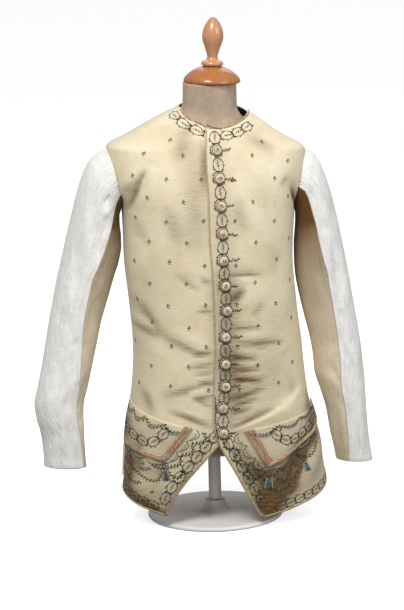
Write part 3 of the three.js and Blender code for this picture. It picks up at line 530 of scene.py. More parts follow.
def cloth_wall(name, grid, faced_out, material, lining=None, thickness=CLOTH, painted_shade_and_browning=None):
    """A cloth panel from a grid of outer points, laid out flat in mm, with its thickness inward."""
    n_rows, n_columns = grid.shape[:2]
    across = np.cumsum(np.linalg.norm(np.diff(grid, axis=1), axis=-1), axis=1)
    across = np.concatenate([np.zeros((n_rows, 1)), across], 1)
    along = np.concatenate([[0], np.cumsum(np.linalg.norm(np.diff(grid, axis=0), axis=-1).mean(1))])
    flat = np.stack([across - across.mean(1, keepdims=True), np.repeat(along[:, None], n_columns, 1)], -1)
    quads = [(r * n_columns + c, r * n_columns + c + 1, (r + 1) * n_columns + c + 1, (r + 1) * n_columns + c)
             for r in range(n_rows - 1) for c in range(n_columns - 1)]
    if not faced_out:
        quads = [quad[::-1] for quad in quads]
    piece = put_mesh(name, grid.reshape(-1, 3), quads, flat.reshape(-1, 2))
    piece.data.materials.append(material)
    # each point's amount of painted shade and browning, kept as an attribute for its material
    if painted_shade_and_browning is not None:
        piece.data.attributes.new("painted_shade_and_browning", "FLOAT", "POINT").data.foreach_set("value", painted_shade_and_browning.ravel())
    if lining:
        piece.data.materials.append(lining)
    deselect_all()
    bpy.context.view_layer.objects.active = piece
    piece.select_set(True)
    wall = piece.modifiers.new("thickness", "SOLIDIFY")
    wall.thickness = thickness * MM
    wall.offset = -1
    wall.use_even_offset = False
    wall.material_offset = 1 if lining else 0
    bpy.ops.object.modifier_apply(modifier=wall.name)
    return piece


def draw_back(grid, first, last):
    """Each row's ends drawn back from the seam."""
    for column, towards, gap in ((0, 1, first), (-1, -2, last)):
        step = grid[:, towards] - grid[:, column]
        grid[:, column] += step / np.linalg.norm(step, axis=-1, keepdims=True) * gap
    return grid


# Fine creases of the back: pulls from the armholes, and across the waist.
BACK_CREASES = rows(
    "x1 z1 x2 z2 rise breadth",
    (60, 372, 150, 380, -1.6, 7), (40, 350, 140, 352, 3.0, 7), (70, 335, 152, 322, -1.4, 7),
    (-60, 366, -148, 376, -1.5, 7), (-36, 344, -146, 346, 2.7, 7), (-64, 328, -150, 316, -1.3, 7),
    (52, 392, 146, 408, 2.6, 8), (-48, 388, -144, 402, 2.8, 8), (34, 318, 128, 304, 2.2, 7),
    (120, 640, 90, 560, -1.6, 10), (-120, 640, -94, 566, -1.6, 10), (96, 700, 110, 630, 2.8, 9),
    (-98, 704, -112, 628, 3.0, 9), (104, 600, 72, 500, 2.6, 10), (-100, 606, -66, 512, 2.4, 10),
    (30, 250, 60, 130, 3.2, 12), (-40, 240, -70, 124, 3.0, 12), (110, 230, 140, 110, -1.8, 15),
    (-112, 226, -138, 112, -1.7, 15), (20, 760, 90, 742, 2.0, 6), (-20, 762, -88, 744, 1.9, 6))
back_levels = [(84, 90, 90)] + [(side, 90, max(side, 110)) for _, side in SKIRT_LEVELS[1:]]
back_levels += [(z, b, 600 + (z - 600) * 1.12) for z, b in zip(ARMHOLE["z"][::-1], ARMHOLE["back"][::-1])]
back_top = back_levels[-1][2]
back_levels += [(z, 90, back_top + (803 - back_top) * (z - SHOULDER_TIP) / (SHOULDER_POINT - SHOULDER_TIP))
                for z in SHOULDER_LEVELS]
BACK = rows("side_z side_angle centre_z", *back_levels)
BACK["level"] = np.arange(len(back_levels), dtype=float)

# Plain linen for the backs, half bleached, matt and a little limp.
back_linen = cloth_material("half_bleached_linen", "#DDD3BC", "#CFC2A4", 1.6, 0.0035, 0.12, 70, 0.88, 0.12,
                            stain="#B8A684")
# The linen that lines the body, dark brown, as it shows inside the neck.
lining = cloth_material("brown_lining_linen", "#8A6444", "#5E3E28", 1.5, 0.003, 0.08, 40, 0.95, 0.05)
for name, side in (("back_left", 1), ("back_right", -1)):
    level = np.linspace(0, len(back_levels) - 1, 190)[:, None]
    share = np.linspace(0, 1, 90)[None, :]
    side_angle = side * np.radians(read(BACK, "side_angle", level, "level"))
    angle = side_angle + (side * pi - side_angle) * share
    side_z = read(BACK, "side_z", level, "level")
    z = side_z + (read(BACK, "centre_z", level, "level") - side_z) * share
    grid = draw_back(body_point(angle, z, np.zeros(z.shape), BACK_CREASES), SEAM, SEAM)
    piece = cloth_wall(name + "_linen", grid, side > 0, back_linen, lining)
    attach(piece, "root")
    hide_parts(name)

# ------------------------------------------------------------------ fronts
# Two silk fronts lined with linen, the wearer's left lapping over the right. Each is cut
# away from the last button to the tip of its skirt; an armhole and a shoulder seam end it.

LAP_LIFT, LAP_REACH = 2.8, 90
LEFT_EDGE = rows("z x", (20, 70.3), (60, 48), (120, 17), (167, -8), (185, -14), (212, -16.6), (272, -15),
                 (352, -9.6), (423, -9.7), (493, -11.3), (563, -14.8), (632, -14.7), (690, -14.9), (757, -9.7))
RIGHT_EDGE = rows("z x", (27, -107.7), (66, -88), (97, -67), (142, -29), (167, -7), (192, 14), (214, 21),
                  (757, 21))
NECKLINE = rows("x z", (-49.5, 790), (-46, 782), (-38, 775), (-28, 771.5), (-16, 767), (-2, 761), (6, 760.3),
                (20, 762), (31, 764.3), (51, 772.5), (67, 781), (75, 787), (77.5, 790))
CHEST_LEVELS = [600, 616, 633, 650, 667, 684, 701, 717, 732, 745, 757]


def angle_at(x, z):
    """The angle round the front of the body at which it has a given x."""
    section = body_section(z)
    side = (x - section["middle"]) / section["half"]
    share = np.clip(np.abs(side), 0, 0.99999) ** section["square"]
    return np.sign(side) * np.arctan((share / (1 - share)) ** (1 / section["square"]))


def front_levels(edge, hem_corner, side):
    """The rows of a front from hem to shoulder: its edge's x and z, its side's z and angle."""
    lines = [(edge["x"][0], edge["z"][0], hem_corner, 90)]
    lines += [(float(read(edge, "x", z)), z, side_z, 90) for z, side_z in SKIRT_LEVELS]
    lines += [(float(read(edge, "x", z)), z, hole, front) for z, hole, front
              in zip(CHEST_LEVELS, ARMHOLE["z"][::-1], ARMHOLE["front"][::-1])]
    start = lines[-1][0]
    lines[-1] = (start, float(read(NECKLINE, "z", start, "x")), *lines[-1][2:])
    tip = NECKLINE["x"][-1 if side > 0 else 0]
    for number, side_z in enumerate(SHOULDER_LEVELS, 1):
        x = start + (tip - start) * sin(pi / 2 * number / (len(SHOULDER_LEVELS) + 0.45))
        lines.append((x, float(read(NECKLINE, "z", x, "x")), side_z, 90))
    table = rows("edge_x edge_z side_z side_angle", *lines)
    table["level"] = np.arange(len(lines), dtype=float)
    table["side"], table["edge"] = side, edge
    return table


def front_row(front, level):
    """Where a front's row begins and ends: edge x, edge angle and height, side angle and height."""
    edge_x = read(front, "edge_x", level, "level")
    edge_z = read(front, "edge_z", level, "level")
    corner = front["level"][-1 - len(SHOULDER_LEVELS)]
    edge_z = np.where(level > corner, read(NECKLINE, "z", edge_x, "x"), edge_z)
    below = read(front["edge"], "x", edge_z)
    edge_x = np.where(level < corner, below, edge_x)
    side_angle = front["side"] * np.radians(read(front, "side_angle", level, "level"))
    return edge_x, angle_at(edge_x, edge_z), edge_z, side_angle, read(front, "side_z", level, "level")


def front_point(front, angle, z, edge_x, out):
    """Outer points of a front at angles and heights, moved out by out."""
    x = section_point(body_section(z), angle, z)[..., 0]
    lift = 0
    if front["side"] > 0:
        t = np.clip((x - edge_x - LAP_REACH / 2) / (LAP_REACH / 2), 0, 1)
        lift = LAP_LIFT * (1 - t * t * (3 - 2 * t))
    return body_point(angle, z, out + lift, front["creases"])


def on_front(front, angle, z, out):
    """Points on a front for things that lie on it: finds each one's row, then moves out."""
    low, high = np.zeros(angle.shape), np.full(angle.shape, front["level"][-1])
    for _ in range(24):
        middle = (low + high) / 2
        edge_x, edge_angle, edge_z, side_angle, side_z = front_row(front, middle)
        share = np.clip((angle - edge_angle) / (side_angle - edge_angle), 0, 1)
        under = edge_z + (side_z - edge_z) * share < z
        low, high = np.where(under, middle, low), np.where(under, high, middle)
    edge_x = front_row(front, (low + high) / 2)[0]
    return front_point(front, angle, z, edge_x, out)


front_left = front_levels(LEFT_EDGE, 70, 1)
front_right = front_levels(RIGHT_EDGE, 61, -1)
# Drag lines from the buttons over the belly, pulls at the armholes and the waist, and the
# soft falls of the skirts.
front_left["creases"] = rows(
    "x1 z1 x2 z2 rise breadth",
    (16, 491, 90, 490, -2.3, 4.5), (20, 483, 76, 477, 1.3, 7), (17, 438, 54, 467, -1.9, 9), (58, 406, 90, 440, -1.2, 9),
    (40, 426, 74, 456, 1.2, 9), (15, 391, 86, 388, -1.8, 5), (18, 402, 70, 404, 1.1, 6), (24, 363, 130, 357, -2.1, 5),
    (22, 374, 104, 373, 1.2, 6), (38, 354, 94, 350, -1.3, 4), (14, 338, 76, 329, -2.4, 5), (18, 346, 80, 341, 1.3, 5),
    (18, 320, 84, 319, 1.3, 5), (18, 311, 80, 309, -2.1, 5), (18, 296, 94, 283, -2.8, 5.5), (20, 303, 100, 297, 1.5, 5),
    (30, 276, 120, 287, 1.4, 7), (12, 255, 92, 277, -2.2, 6), (18, 243, 76, 255, -1.6, 5), (14, 266, 70, 273, 1.3, 5),
    (12, 229, 60, 236, -1.5, 5), (8, 190, 130, 234, 2.8, 5.5), (12, 199, 106, 230, -2.8, 5), (30, 214, 124, 240, -1.5, 7),
    (128, 230, 168, 264, 2.2, 7), (128, 300, 152, 236, -0.7, 9), (153, 652, 166, 598, -2.2, 6), (145, 642, 156, 596, 1.6, 6),
    (146, 676, 124, 648, -1.3, 7), (60, 746, 124, 717, -1.3, 10), (96, 562, 124, 470, -0.6, 16), (128, 520, 138, 400, 1.5, 12),
    (38, 646, 50, 556, -1.0, 14), (82, 684, 92, 606, -0.4, 18), (176, 172, 126, 58, -4.0, 15), (196, 142, 150, 72, 3.0, 14),
    (56, 140, 92, 58, -1.8, 10), (104, 122, 112, 56, 1.6, 9), (62, 50, 118, 74, -2.0, 12))
front_right["creases"] = rows(
    "x1 z1 x2 z2 rise breadth",
    (-40, 487, -12, 475, -1.8, 4.5), (-84, 499, -34, 459, -1.3, 6), (-60, 507, -24, 482, 1.1, 8), (-44, 422, -10, 424, -1.8, 4.5),
    (-46, 434, -12, 434, 1.1, 5), (-162, 393, -108, 368, -2.2, 7), (-158, 405, -114, 386, 1.5, 7), (-118, 380, -14, 331, -2.0, 8),
    (-100, 390, -20, 353, 1.2, 8), (-54, 339, -12, 346, -1.9, 4.5), (-62, 315, -12, 324, -2.0, 4.5), (-54, 328, -14, 334, 1.2, 4.5),
    (-52, 302, -13, 308, -1.8, 4.5), (-46, 287, -12, 287, -1.8, 4.5), (-52, 296, -14, 297, 1.1, 4.5), (-114, 257, -16, 287, -2.0, 8),
    (-60, 254, -14, 263, -1.9, 5), (-56, 260, -18, 241, -1.5, 5), (-66, 270, -16, 274, 1.4, 5), (-106, 233, -18, 202, -2.5, 4.5),
    (-102, 241, -22, 213, 1.7, 5), (-142, 274, -126, 218, -1.7, 8), (-150, 442, -106, 372, -1.7, 9), (-28, 772, -54, 742, -0.8, 10),
    (-46, 754, -72, 696, -0.9, 15), (-16, 746, -22, 636, -1.6, 8), (-122, 688, -143, 654, -1.5, 6), (-137, 670, -161, 598, -1.8, 6),
    (-108, 694, -132, 648, 1.8, 8), (-152, 602, -127, 538, -0.8, 10), (-146, 560, -131, 468, 1.4, 12), (-92, 624, -68, 536, -1.2, 15),
    (-174, 148, -181, 62, -2.2, 10), (-58, 122, -86, 58, -1.5, 9), (-104, 112, -122, 48, 1.7, 9), (-146, 192, -161, 88, -2.0, 10),
    (-124, 152, -111, 78, -1.2, 9))

# Where the silk is darkened brown, from place to place, with amount and breadth: painted shade in its hollows, under
# the flaps and down the skirts, with some browning of age.
PAINTED_SHADE_AND_BROWNING_PLACES = rows(
    "x1 z1 x2 z2 rise breadth",
    (14, 320, 14, 480, 0.6, 28), (12, 205, 14, 320, 0.5, 32), (12, 480, 8, 730, 0.24, 20), (-36, 720, -40, 560, 0.34, 24),
    (180, 240, 184, 160, 0.75, 13), (176, 164, 138, 136, 0.8, 14), (140, 134, 126, 88, 0.45, 26), (126, 84, 100, 52, 0.45, 34),
    (100, 50, 72, 24, 0.75, 32), (30, 150, 62, 60, 0.6, 22), (70, 122, 112, 112, 0.5, 24), (198, 150, 172, 70, 0.4, 30), (104, 112, 84, 60, 0.3, 34), (80, 290, 110, 400, 0.22, 45), (153, 652, 167, 596, 0.35, 8),
    (-178, 200, -184, 62, 1.1, 16), (-180, 60, -112, 22, 1.1, 15), (-168, 82, -116, 52, 0.3, 24), (-104, 34, -70, 82, 0.5, 13), (-150, 100, -90, 70, 0.08, 40),
    (-22, 178, -70, 90, 0.35, 16), (-168, 246, -174, 180, 0.4, 13), (-110, 130, -60, 170, 0.25, 36),
    (-137, 670, -161, 598, 0.22, 8), (20, 270, 100, 300, 0.18, 26), (-50, 752, -70, 700, 0.12, 14),
    (-62, 752, -110, 738, 0.12, 14), (-160, 200, -86, 172, 0.2, 30), (66, 170, 150, 190, 0.26, 32),
    (-120, 70, -90, 60, 0.2, 24), (60, 130, 30, 150, 0.2, 20))


def painted_shade_and_browning_amount(front, angle, z):
    """How dark the silk is painted at places: by region, painted shade with some browning of age, and in the troughs of
    its creases, painted shade.
    """
    x = section_point(body_section(z), angle, z)[..., 0]
    painted_crease_shade = np.clip(-fold_rise(front["creases"], x, z, ends=0.0) * 0.3, 0, 0.7)
    return np.clip(fold_rise(PAINTED_SHADE_AND_BROWNING_PLACES, x, z, ends=0.7) + painted_crease_shade, 0, 1)


# Cream silk, closely woven and softly lustrous, yellowed by age and foxed here and there. Its darkest brown, #6E5639,
# paints shade into it, with some browning of age.
silk = cloth_material("cream_silk", "#EADFC2", "#DECFAC", 1.1, 0.0012, 0.05, 85, 0.46, 0.25, stain="#C4AE80", painted_shade_and_browning="#6E5639",
                      crumple=(1.0, 60, 34), pulls=5.0)
for name, front in (("front_left", front_left), ("front_right", front_right)):
    level = np.linspace(0, front["level"][-1], 236)[:, None]
    share = np.linspace(0, 1, 104)[None, :]
    edge_x, edge_angle, edge_z, side_angle, side_z = front_row(front, level)
    angle = edge_angle + (side_angle - edge_angle) * share
    z = edge_z + (side_z - edge_z) * share
    grid = draw_back(front_point(front, angle, z, edge_x, np.zeros(z.shape)), 0, SEAM)
    piece = cloth_wall(name + "_silk", grid, front["side"] > 0, silk, lining, painted_shade_and_browning=painted_shade_and_browning_amount(front, angle, z))
    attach(piece, "root")
    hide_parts(name)

# ------------------------------------------------------------------ pocket flaps
# A pointed silk flap over each pocket, sewn in along its top and loose below.

FLAP_LIFT = 1.8
FLAPS = {
    "pocket_flap_right": (front_right, (radians(-86), 240), (-55, 201), (-107, 134.5), (radians(-86), 156)),
    "pocket_flap_left": (front_left, (radians(86), 224), (39, 195), (83, 119.5), (radians(86), 196)),
}


def flap_place(name, across, down):
    """Angle and height on a flap, across from the side to the front and down from its top."""
    _, side_top, front_top, front_low, side_low = FLAPS[name]
    top_angle = float(angle_at(np.array(front_top[0]), np.array(front_top[1])))
    low_angle = float(angle_at(np.array(front_low[0]), np.array(front_low[1])))
    side_angle = side_top[0] + (side_low[0] - side_top[0]) * down
    side_z = side_top[1] + (side_low[1] - side_top[1]) * down
    front_angle = top_angle + (low_angle - top_angle) * down
    front_z = front_top[1] + (front_low[1] - front_top[1]) * down
    return side_angle + (front_angle - side_angle) * across, side_z + (front_z - side_z) * across


for name, (front, *_) in FLAPS.items():
    down, across = np.linspace(0, 1, 44)[:, None], np.linspace(0, 1, 76)[None, :]
    angle, z = flap_place(name, across, down)
    sewn = np.clip(down / 0.05, 0, 1) * np.ones(across.shape)
    grid = on_front(front, angle, z, CLOTH + 0.35 + (FLAP_LIFT - 0.35) * sewn)
    piece = cloth_wall(name + "_silk", grid, front["side"] > 0, silk, painted_shade_and_browning=painted_shade_and_browning_amount(front, angle, z))
    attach(piece, "root")
    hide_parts(name)

# ------------------------------------------------------------------ sleeves
# Two-piece linen sleeves: a white upper piece and a buff under piece, sewn together down the
# front and hind seams and into the armhole with a little fullness.

SLEEVE_SEAM = 0.3
RING = 20
HIND_COLUMN, HIND_ANGLE = 14, 255
SLEEVE_COLUMNS = "out_x out_z in_x in_z y depth seam"
SLEEVES = {
    "right": {"side": -1, "seam": 7, "rows": rows(
        SLEEVE_COLUMNS,
        (205, 713, 165.5, 602, 0, 44, 124), (222, 698, 167, 596.5, 1, 46, 127),
        (236, 672, 167.5, 590, 2, 47.5, 128), (247, 640, 167.5, 582, 3, 49, 127),
        (257, 605, 167, 571, 4, 50, 124), (266, 572, 165.5, 556, 4, 50, 118),
        (274.5, 541, 165.5, 536, 4, 50, 111), (283, 508, 171.5, 505, 3, 49.5, 104),
        (289.5, 484, 180.5, 480, 2, 49, 99), (299.5, 441, 194.5, 437, 0, 48, 100),
        (309.5, 397, 209, 394, -3, 47, 104), (317.5, 358, 219, 354, -7, 46, 110),
        (326, 317, 229, 314, -11, 45.5, 117), (336, 276, 239, 274, -15, 45, 124),
        (344, 240, 249, 236, -18, 44, 130), (341, 214, 251, 208, -21, 41, 135),
        (335, 188, 251.5, 183, -23, 36, 140), (331.5, 155, 250.5, 150, -25, 32, 146),
        (330, 124, 249.5, 118, -26, 29, 150))},
    "left": {"side": 1, "seam": 6, "rows": rows(
        SLEEVE_COLUMNS,
        (201, 696, 165.5, 588, 0, 44, 105), (215, 678, 167, 582, 1, 46, 107),
        (226, 652, 167.5, 575, 2, 47.5, 107), (236, 620, 167.5, 566, 3, 49, 106),
        (245, 585, 167, 555, 4, 50, 103), (252, 550, 165.5, 541, 4, 50, 100),
        (258, 520, 163.8, 520, 4, 50, 96), (263.5, 490, 163.5, 492, 3, 49.5, 91),
        (269, 459, 165, 462, 2, 49, 87), (275, 418, 171.5, 422, 0, 48, 87),
        (281.5, 376, 180, 382, -3, 47, 89), (288, 330, 190, 337, -6, 46, 93),
        (291.5, 298, 194.5, 306, -9, 45.5, 95), (294, 262, 196.5, 274, -12, 45, 97),
        (295, 228, 206, 240, -15, 43, 101), (296, 196, 216, 204, -18, 40, 102),
        (298.5, 152, 223, 158, -21, 35, 104), (302, 122, 229, 128, -22, 32, 109),
        (305.5, 96, 234.5, 101, -22, 29, 113))},
}
# Creases of each sleeve, in front and behind: soft lengthwise troughs down the arm, breaks at
# the elbow and short pulls under the armhole.
SLEEVE_CREASES = {
    ("right", 1): rows(
        "x1 z1 x2 z2 rise breadth",
        (-216, 610, -212, 500, -2.6, 9), (-232, 640, -238, 520, 1.8, 11), (-196, 600, -200, 560, -2.0, 7),
        (-248, 560, -262, 450, -1.6, 9), (-206, 500, -214, 440, 1.5, 8), (-262, 480, -278, 400, 1.4, 8),
        (-226, 450, -240, 380, -1.8, 8), (-240, 300, -268, 230, -2.8, 8), (-252, 316, -286, 250, 2.4, 8),
        (-232, 268, -262, 206, -2.6, 7), (-296, 350, -300, 262, -1.6, 9), (-270, 290, -300, 216, -2.2, 8),
        (-258, 240, -262, 130, 2.6, 9), (-280, 220, -284, 130, -2.0, 8), (-306, 250, -302, 130, -1.8, 8),
        (-294, 200, -298, 128, 1.4, 7), (-318, 300, -322, 230, 1.5, 9), (-270, 170, -268, 124, -1.4, 6),
        (-186, 640, -204, 620, -1.8, 6), (-182, 618, -204, 600, 1.6, 6), (-222, 400, -236, 330, 1.6, 8),
        (-310, 196, -320, 160, -1.2, 6), (-254, 372, -276, 352, -1.2, 6), (-286, 434, -296, 398, -1.3, 6)),
    ("right", -1): rows(
        "x1 z1 x2 z2 rise breadth",
        (-200, 620, -206, 520, -2.2, 9), (-230, 600, -244, 500, 1.8, 10), (-220, 470, -236, 380, -2.0, 9),
        (-256, 440, -268, 360, 1.4, 9), (-246, 320, -284, 292, -2.6, 8), (-250, 300, -296, 268, 2.2, 8),
        (-254, 272, -300, 244, -2.4, 8), (-262, 240, -306, 226, 1.8, 7), (-280, 210, -284, 130, -1.8, 8),
        (-302, 200, -308, 130, 1.4, 8), (-262, 200, -264, 130, -1.5, 7), (-276, 400, -290, 330, -1.4, 9)),
    ("left", 1): rows(
        "x1 z1 x2 z2 rise breadth",
        (184, 680, 214, 590, -2.0, 8), (196, 660, 226, 560, 1.8, 9), (186, 640, 190, 600, -1.6, 6),
        (234, 540, 244, 400, -2.4, 9), (216, 560, 222, 440, 1.8, 9), (206, 520, 210, 430, -1.4, 8),
        (240, 400, 246, 370, -1.8, 7), (232, 372, 278, 240, -2.6, 8), (238, 340, 248, 280, 2.0, 7),
        (246, 344, 286, 262, 2.2, 8), (214, 300, 250, 236, -2.2, 7), (220, 276, 256, 210, 1.8, 7),
        (256, 250, 262, 120, -2.0, 8), (276, 230, 282, 110, 1.6, 8), (240, 220, 248, 110, 1.8, 8),
        (286, 320, 288, 260, -1.4, 7), (228, 216, 236, 130, -1.6, 7), (256, 470, 262, 400, 1.4, 8),
        (270, 180, 274, 104, -1.3, 7), (200, 470, 204, 400, 1.4, 8), (226, 610, 244, 560, -1.4, 8)),
    ("left", -1): rows(
        "x1 z1 x2 z2 rise breadth",
        (190, 640, 206, 520, -2.2, 9), (222, 600, 236, 480, 1.8, 10), (206, 470, 216, 370, -1.8, 9),
        (240, 440, 252, 350, 1.6, 9), (206, 320, 250, 290, -2.6, 8), (210, 296, 260, 264, 2.2, 8),
        (216, 264, 268, 236, -2.4, 8), (226, 236, 276, 220, 1.8, 7), (252, 210, 258, 110, -1.8, 8),
        (276, 200, 284, 110, 1.4, 8), (236, 200, 242, 120, -1.5, 7), (256, 380, 268, 310, -1.4, 9)),
}
# Handkerchief-weight linen, bleached white, with the thick and thin yarns of hand spinning.
white_linen = cloth_material("bleached_white_linen", "#F1F0ED", "#E6E4E0", 1.7, 0.0026, 0.12, 46, 0.85, 0.16,
                            crumple=(3.4, 10, 50))
# Unbleached buff linen for the under sleeves, coarser and duller. Its brown #7C5C2E darkens it as painted shade under
# the arm.
buff_linen = cloth_material("unbleached_buff_linen", "#DDD0B9", "#CBBB9E", 1.9, 0.0022, 0.12, 60, 0.9, 0.1,
                            stain="#AE9873", painted_shade_and_browning="#7C5C2E", crumple=(2.4, 17, 50))


def armhole_point(side, column):
    """The armhole's seam line, from the shoulder tip down the front (column 0 to 10) and up behind."""
    table = {"z": ARMHOLE["z"], "front": ARMHOLE["front"], "back": ARMHOLE["back"],
             "at": np.arange(len(ARMHOLE["z"]), dtype=float)}
    at = np.where(column <= RING / 2, column, RING - column)
    z = read(table, "z", at, "at")
    angle = np.where(column <= RING / 2, read(table, "front", at, "at"), read(table, "back", at, "at"))
    angle = side * np.radians(angle)
    return body_point(angle, z, np.full(z.shape, 2 * SEAM))


for name, sleeve in SLEEVES.items():
    side, table = sleeve["side"], dict(sleeve["rows"])
    table["level"] = np.arange(1, len(table["y"]) + 1, dtype=float)
    last_level = table["level"][-1]
    for part, first, last, material, slot_name in [
        ("upper", HIND_COLUMN, RING + sleeve["seam"], white_linen, "sleeve_linen"),
        ("under", sleeve["seam"], HIND_COLUMN, buff_linen, "under_sleeve_linen"),
    ]:
        steps = 92 if part == "upper" else 60
        column = np.linspace(first, last, steps) % RING
        column[-1] = last % RING
        level = np.concatenate([np.linspace(0, 1, 7)[:-1], np.linspace(1, last_level, 190)])
        reading = {c: read(table, c, level, "level")[:, None] for c in SLEEVE_COLUMNS.split()}
        outer = np.stack([side * reading["out_x"], reading["y"], reading["out_z"]], -1)
        inner = np.stack([side * reading["in_x"], reading["y"], reading["in_z"]], -1)
        middle = (outer + inner) / 2
        breadth = (outer - inner) / 2
        anchors = {"column": np.array([0, sleeve["seam"], RING / 2, HIND_COLUMN, RING]),
                   "angle": np.array([0, 0, 180, HIND_ANGLE, 360.0])}
        angle = np.empty((len(level), steps))
        for number, seam_angle in enumerate(reading["seam"][:, 0]):
            anchors["angle"][1] = seam_angle
            angle[number] = np.radians(np.interp(column, anchors["column"], anchors["angle"]))
        grid = middle + breadth * np.cos(angle)[..., None]
        grid[..., 1] -= reading["depth"] * np.sin(angle)
        hole = armhole_point(side, column)
        blend = np.clip(level, 0, 1)[:, None, None]
        grid = hole + (grid - hole) * blend
        du, dv = np.gradient(grid, axis=1), np.gradient(grid, axis=0)
        normal = np.cross(du, dv)
        normal /= np.linalg.norm(normal, axis=-1, keepdims=True)
        outward = grid - middle
        normal *= np.sign((normal * outward).sum(-1))[..., None]
        facing = np.sin(angle)
        rise = sum(fold_rise(SLEEVE_CREASES[name, way], grid[..., 0], grid[..., 2], ends=0.0)
                   * np.clip(way * facing * 2.2, 0, 1) for way in (1, -1))
        calm = np.clip((level - 0.6) / 2.0, 0, 1)[:, None]
        edge = np.minimum(np.linspace(0, 1, steps), np.linspace(1, 0, steps))[None, :]
        rise = (rise * 1.5 - 0.6) * calm * np.clip(edge * 14, 0.15, 1)
        rise += 0.45 * np.clip((level - last_level + 0.42) * 12, 0, 1)[:, None]
        grid = draw_back(grid + normal * rise[..., None], SLEEVE_SEAM, SLEEVE_SEAM)
        faced = np.sign((np.cross(du, dv) * outward).sum(-1)).mean() > 0
        # the under piece is darkened from the armhole to below the elbow: painted shade under the arm
        painted_shade_and_browning = None if part == "upper" else np.repeat(np.clip(1.55 - level / 8, 0, 1)[:, None], steps, 1)
        piece = cloth_wall(f"sleeve_{name}_{part}_linen", grid, faced, material, painted_shade_and_browning=painted_shade_and_browning)
        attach(piece, "root")
        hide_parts(f"sleeve_{name}_{part}")

# ------------------------------------------------------------------ embroidery
# Silk floss worked over the silk in satin and stem stitch: a chain of ovals round every
# edge, sprigs set in a half drop, and swags, scallops and tassels round the pocket flaps.

BUTTON_PLACES = [(7.3, 719), (8.7, 669.6), (9, 620), (10.4, 568.8), (9.9, 518.6), (12.7, 470.8), (14.6, 423.5),
                 (10.4, 373.5), (9.1, 322.6), (7.2, 279.9), (1.6, 238.5), (1.2, 190.3)]
FLOSS = {"leaf": "#45461F", "blue": "#31434A", "pale": "#949F94", "pink": "#C2A188", "rust": "#8C4E3E",
         "dark": "#241F16", "green": "#666F38", "binding": "#B4987A"}


def floss_material(name, colour):
    """Untwisted silk floss: fine, lustrous and a little uneven in dye."""
    made, tree, shader = start_material("silk_floss_" + name, Roughness=0.6, Sheen_Weight=0.04,
                                        Sheen_Roughness=0.3, Specular_IOR_Level=0.22)
    place = add_node(tree, "TexCoord").outputs["Object"]
    dye = add_node(tree, "TexNoise", {"Vector": place, "Scale": 160.0, "Detail": 3.0})
    tone = add_node(tree, "HueSaturation", {"Color": linear(colour), "Saturation": 1.0})
    lighter = add_node(tree, "MapRange", {"Value": dye.outputs["Fac"], "From Min": 0.3, "From Max": 0.7,
                                          "To Min": 0.72, "To Max": 1.3})
    tree.links.new(lighter.outputs[0], tone.inputs["Value"])
    tree.links.new(tone.outputs["Color"], shader.inputs["Base Color"])
    strand = add_node(tree, "TexNoise", {"Vector": place, "Scale": 2200.0, "Detail": 1.0})
    bump = add_node(tree, "Bump", {"Height": strand.outputs["Fac"], "Strength": 0.4, "Distance": 0.0002})
    tree.links.new(bump.outputs["Normal"], shader.inputs["Normal"])
    return made


floss = {name: floss_material(name, colour) for name, colour in FLOSS.items()}


def gauge(angle, z):
    """Millimetres over the cloth for each radian and each mm of height, and the lean between the two."""
    around = (section_point(body_section(z), angle + 0.01, z) - section_point(body_section(z), angle - 0.01, z)) / 0.02
    rise = (section_point(body_section(z + 1), angle, z + 1) - section_point(body_section(z - 1), angle, z - 1)) / 2
    girth = np.linalg.norm(around, axis=-1)
    lean = (around * rise).sum(-1) / girth
    return girth, np.sqrt(np.maximum((rise * rise).sum(-1) - lean ** 2, 0.05)), lean


def spot(x, z):
    return float(angle_at(np.array(float(x)), np.array(float(z)))), float(z)


def near(at, path, turn=0.0, size=1.0):
    """Angles and heights of a small path in mm about a place, turned by degrees and scaled."""
    path = np.asarray(path, float) * size
    c, s = cos(radians(turn)), sin(radians(turn))
    across, upward = path[:, 0] * c - path[:, 1] * s, path[:, 0] * s + path[:, 1] * c
    girth, climb, lean = gauge(np.array(at[0]), np.array(at[1]))
    up = upward / climb
    return at[0] + (across - up * lean) / girth, at[1] + up


def beside(angle, z, inset, closed=False):
    """A line's own angles and heights moved inset mm to its left over the cloth."""
    girth, climb, lean = gauge(angle, z)
    if closed:
        turn, rise = np.roll(angle, -1) - np.roll(angle, 1), np.roll(z, -1) - np.roll(z, 1)
    else:
        turn, rise = np.gradient(angle), np.gradient(z)
    across, upward = turn * girth + rise * lean, rise * climb
    length = np.maximum(np.hypot(across, upward), 1e-6)
    up = across / length * inset / climb
    return angle + (-upward / length * inset - up * lean) / girth, z + up


def stroke(work, tint, line, width, height=0.5, closed=False, base=0.0):
    """One satin-stitched line of floss, flat below and crowned, width mm to each side."""
    angle, z = np.asarray(line[0], float), np.asarray(line[1], float)
    width = np.broadcast_to(np.asarray(width, float), angle.shape)
    left = beside(angle, z, width, closed)
    right_side = 2 * angle - left[0], 2 * z - left[1]
    tall = np.minimum(height, width * 0.9)
    start = work["count"]
    work["angle"].append(np.stack([left[0], angle, right_side[0], angle], -1).ravel())
    work["z"].append(np.stack([left[1], z, right_side[1], z], -1).ravel())
    low = np.full(angle.shape, base - 0.1)
    work["out"].append(np.stack([low + 0.15, base + tall, low + 0.15, low - 0.1], -1).ravel())
    n = len(angle)
    work["count"] += 4 * n
    faces = []
    for i in range(n if closed else n - 1):
        a, b = start + 4 * i, start + 4 * ((i + 1) % n)
        faces += [(a + k, b + k, b + (k + 1) % 4, a + (k + 1) % 4) for k in range(4)]
    if not closed:
        end = start + 4 * (n - 1)
        faces += [(start, start + 1, start + 2, start + 3), (end + 3, end + 2, end + 1, end)]
    work["faces"] += faces
    work["tints"] += [tint] * len(faces)


LEAF_WIDTH = np.array([0.25, 0.85, 1.0, 0.7, 0.2])


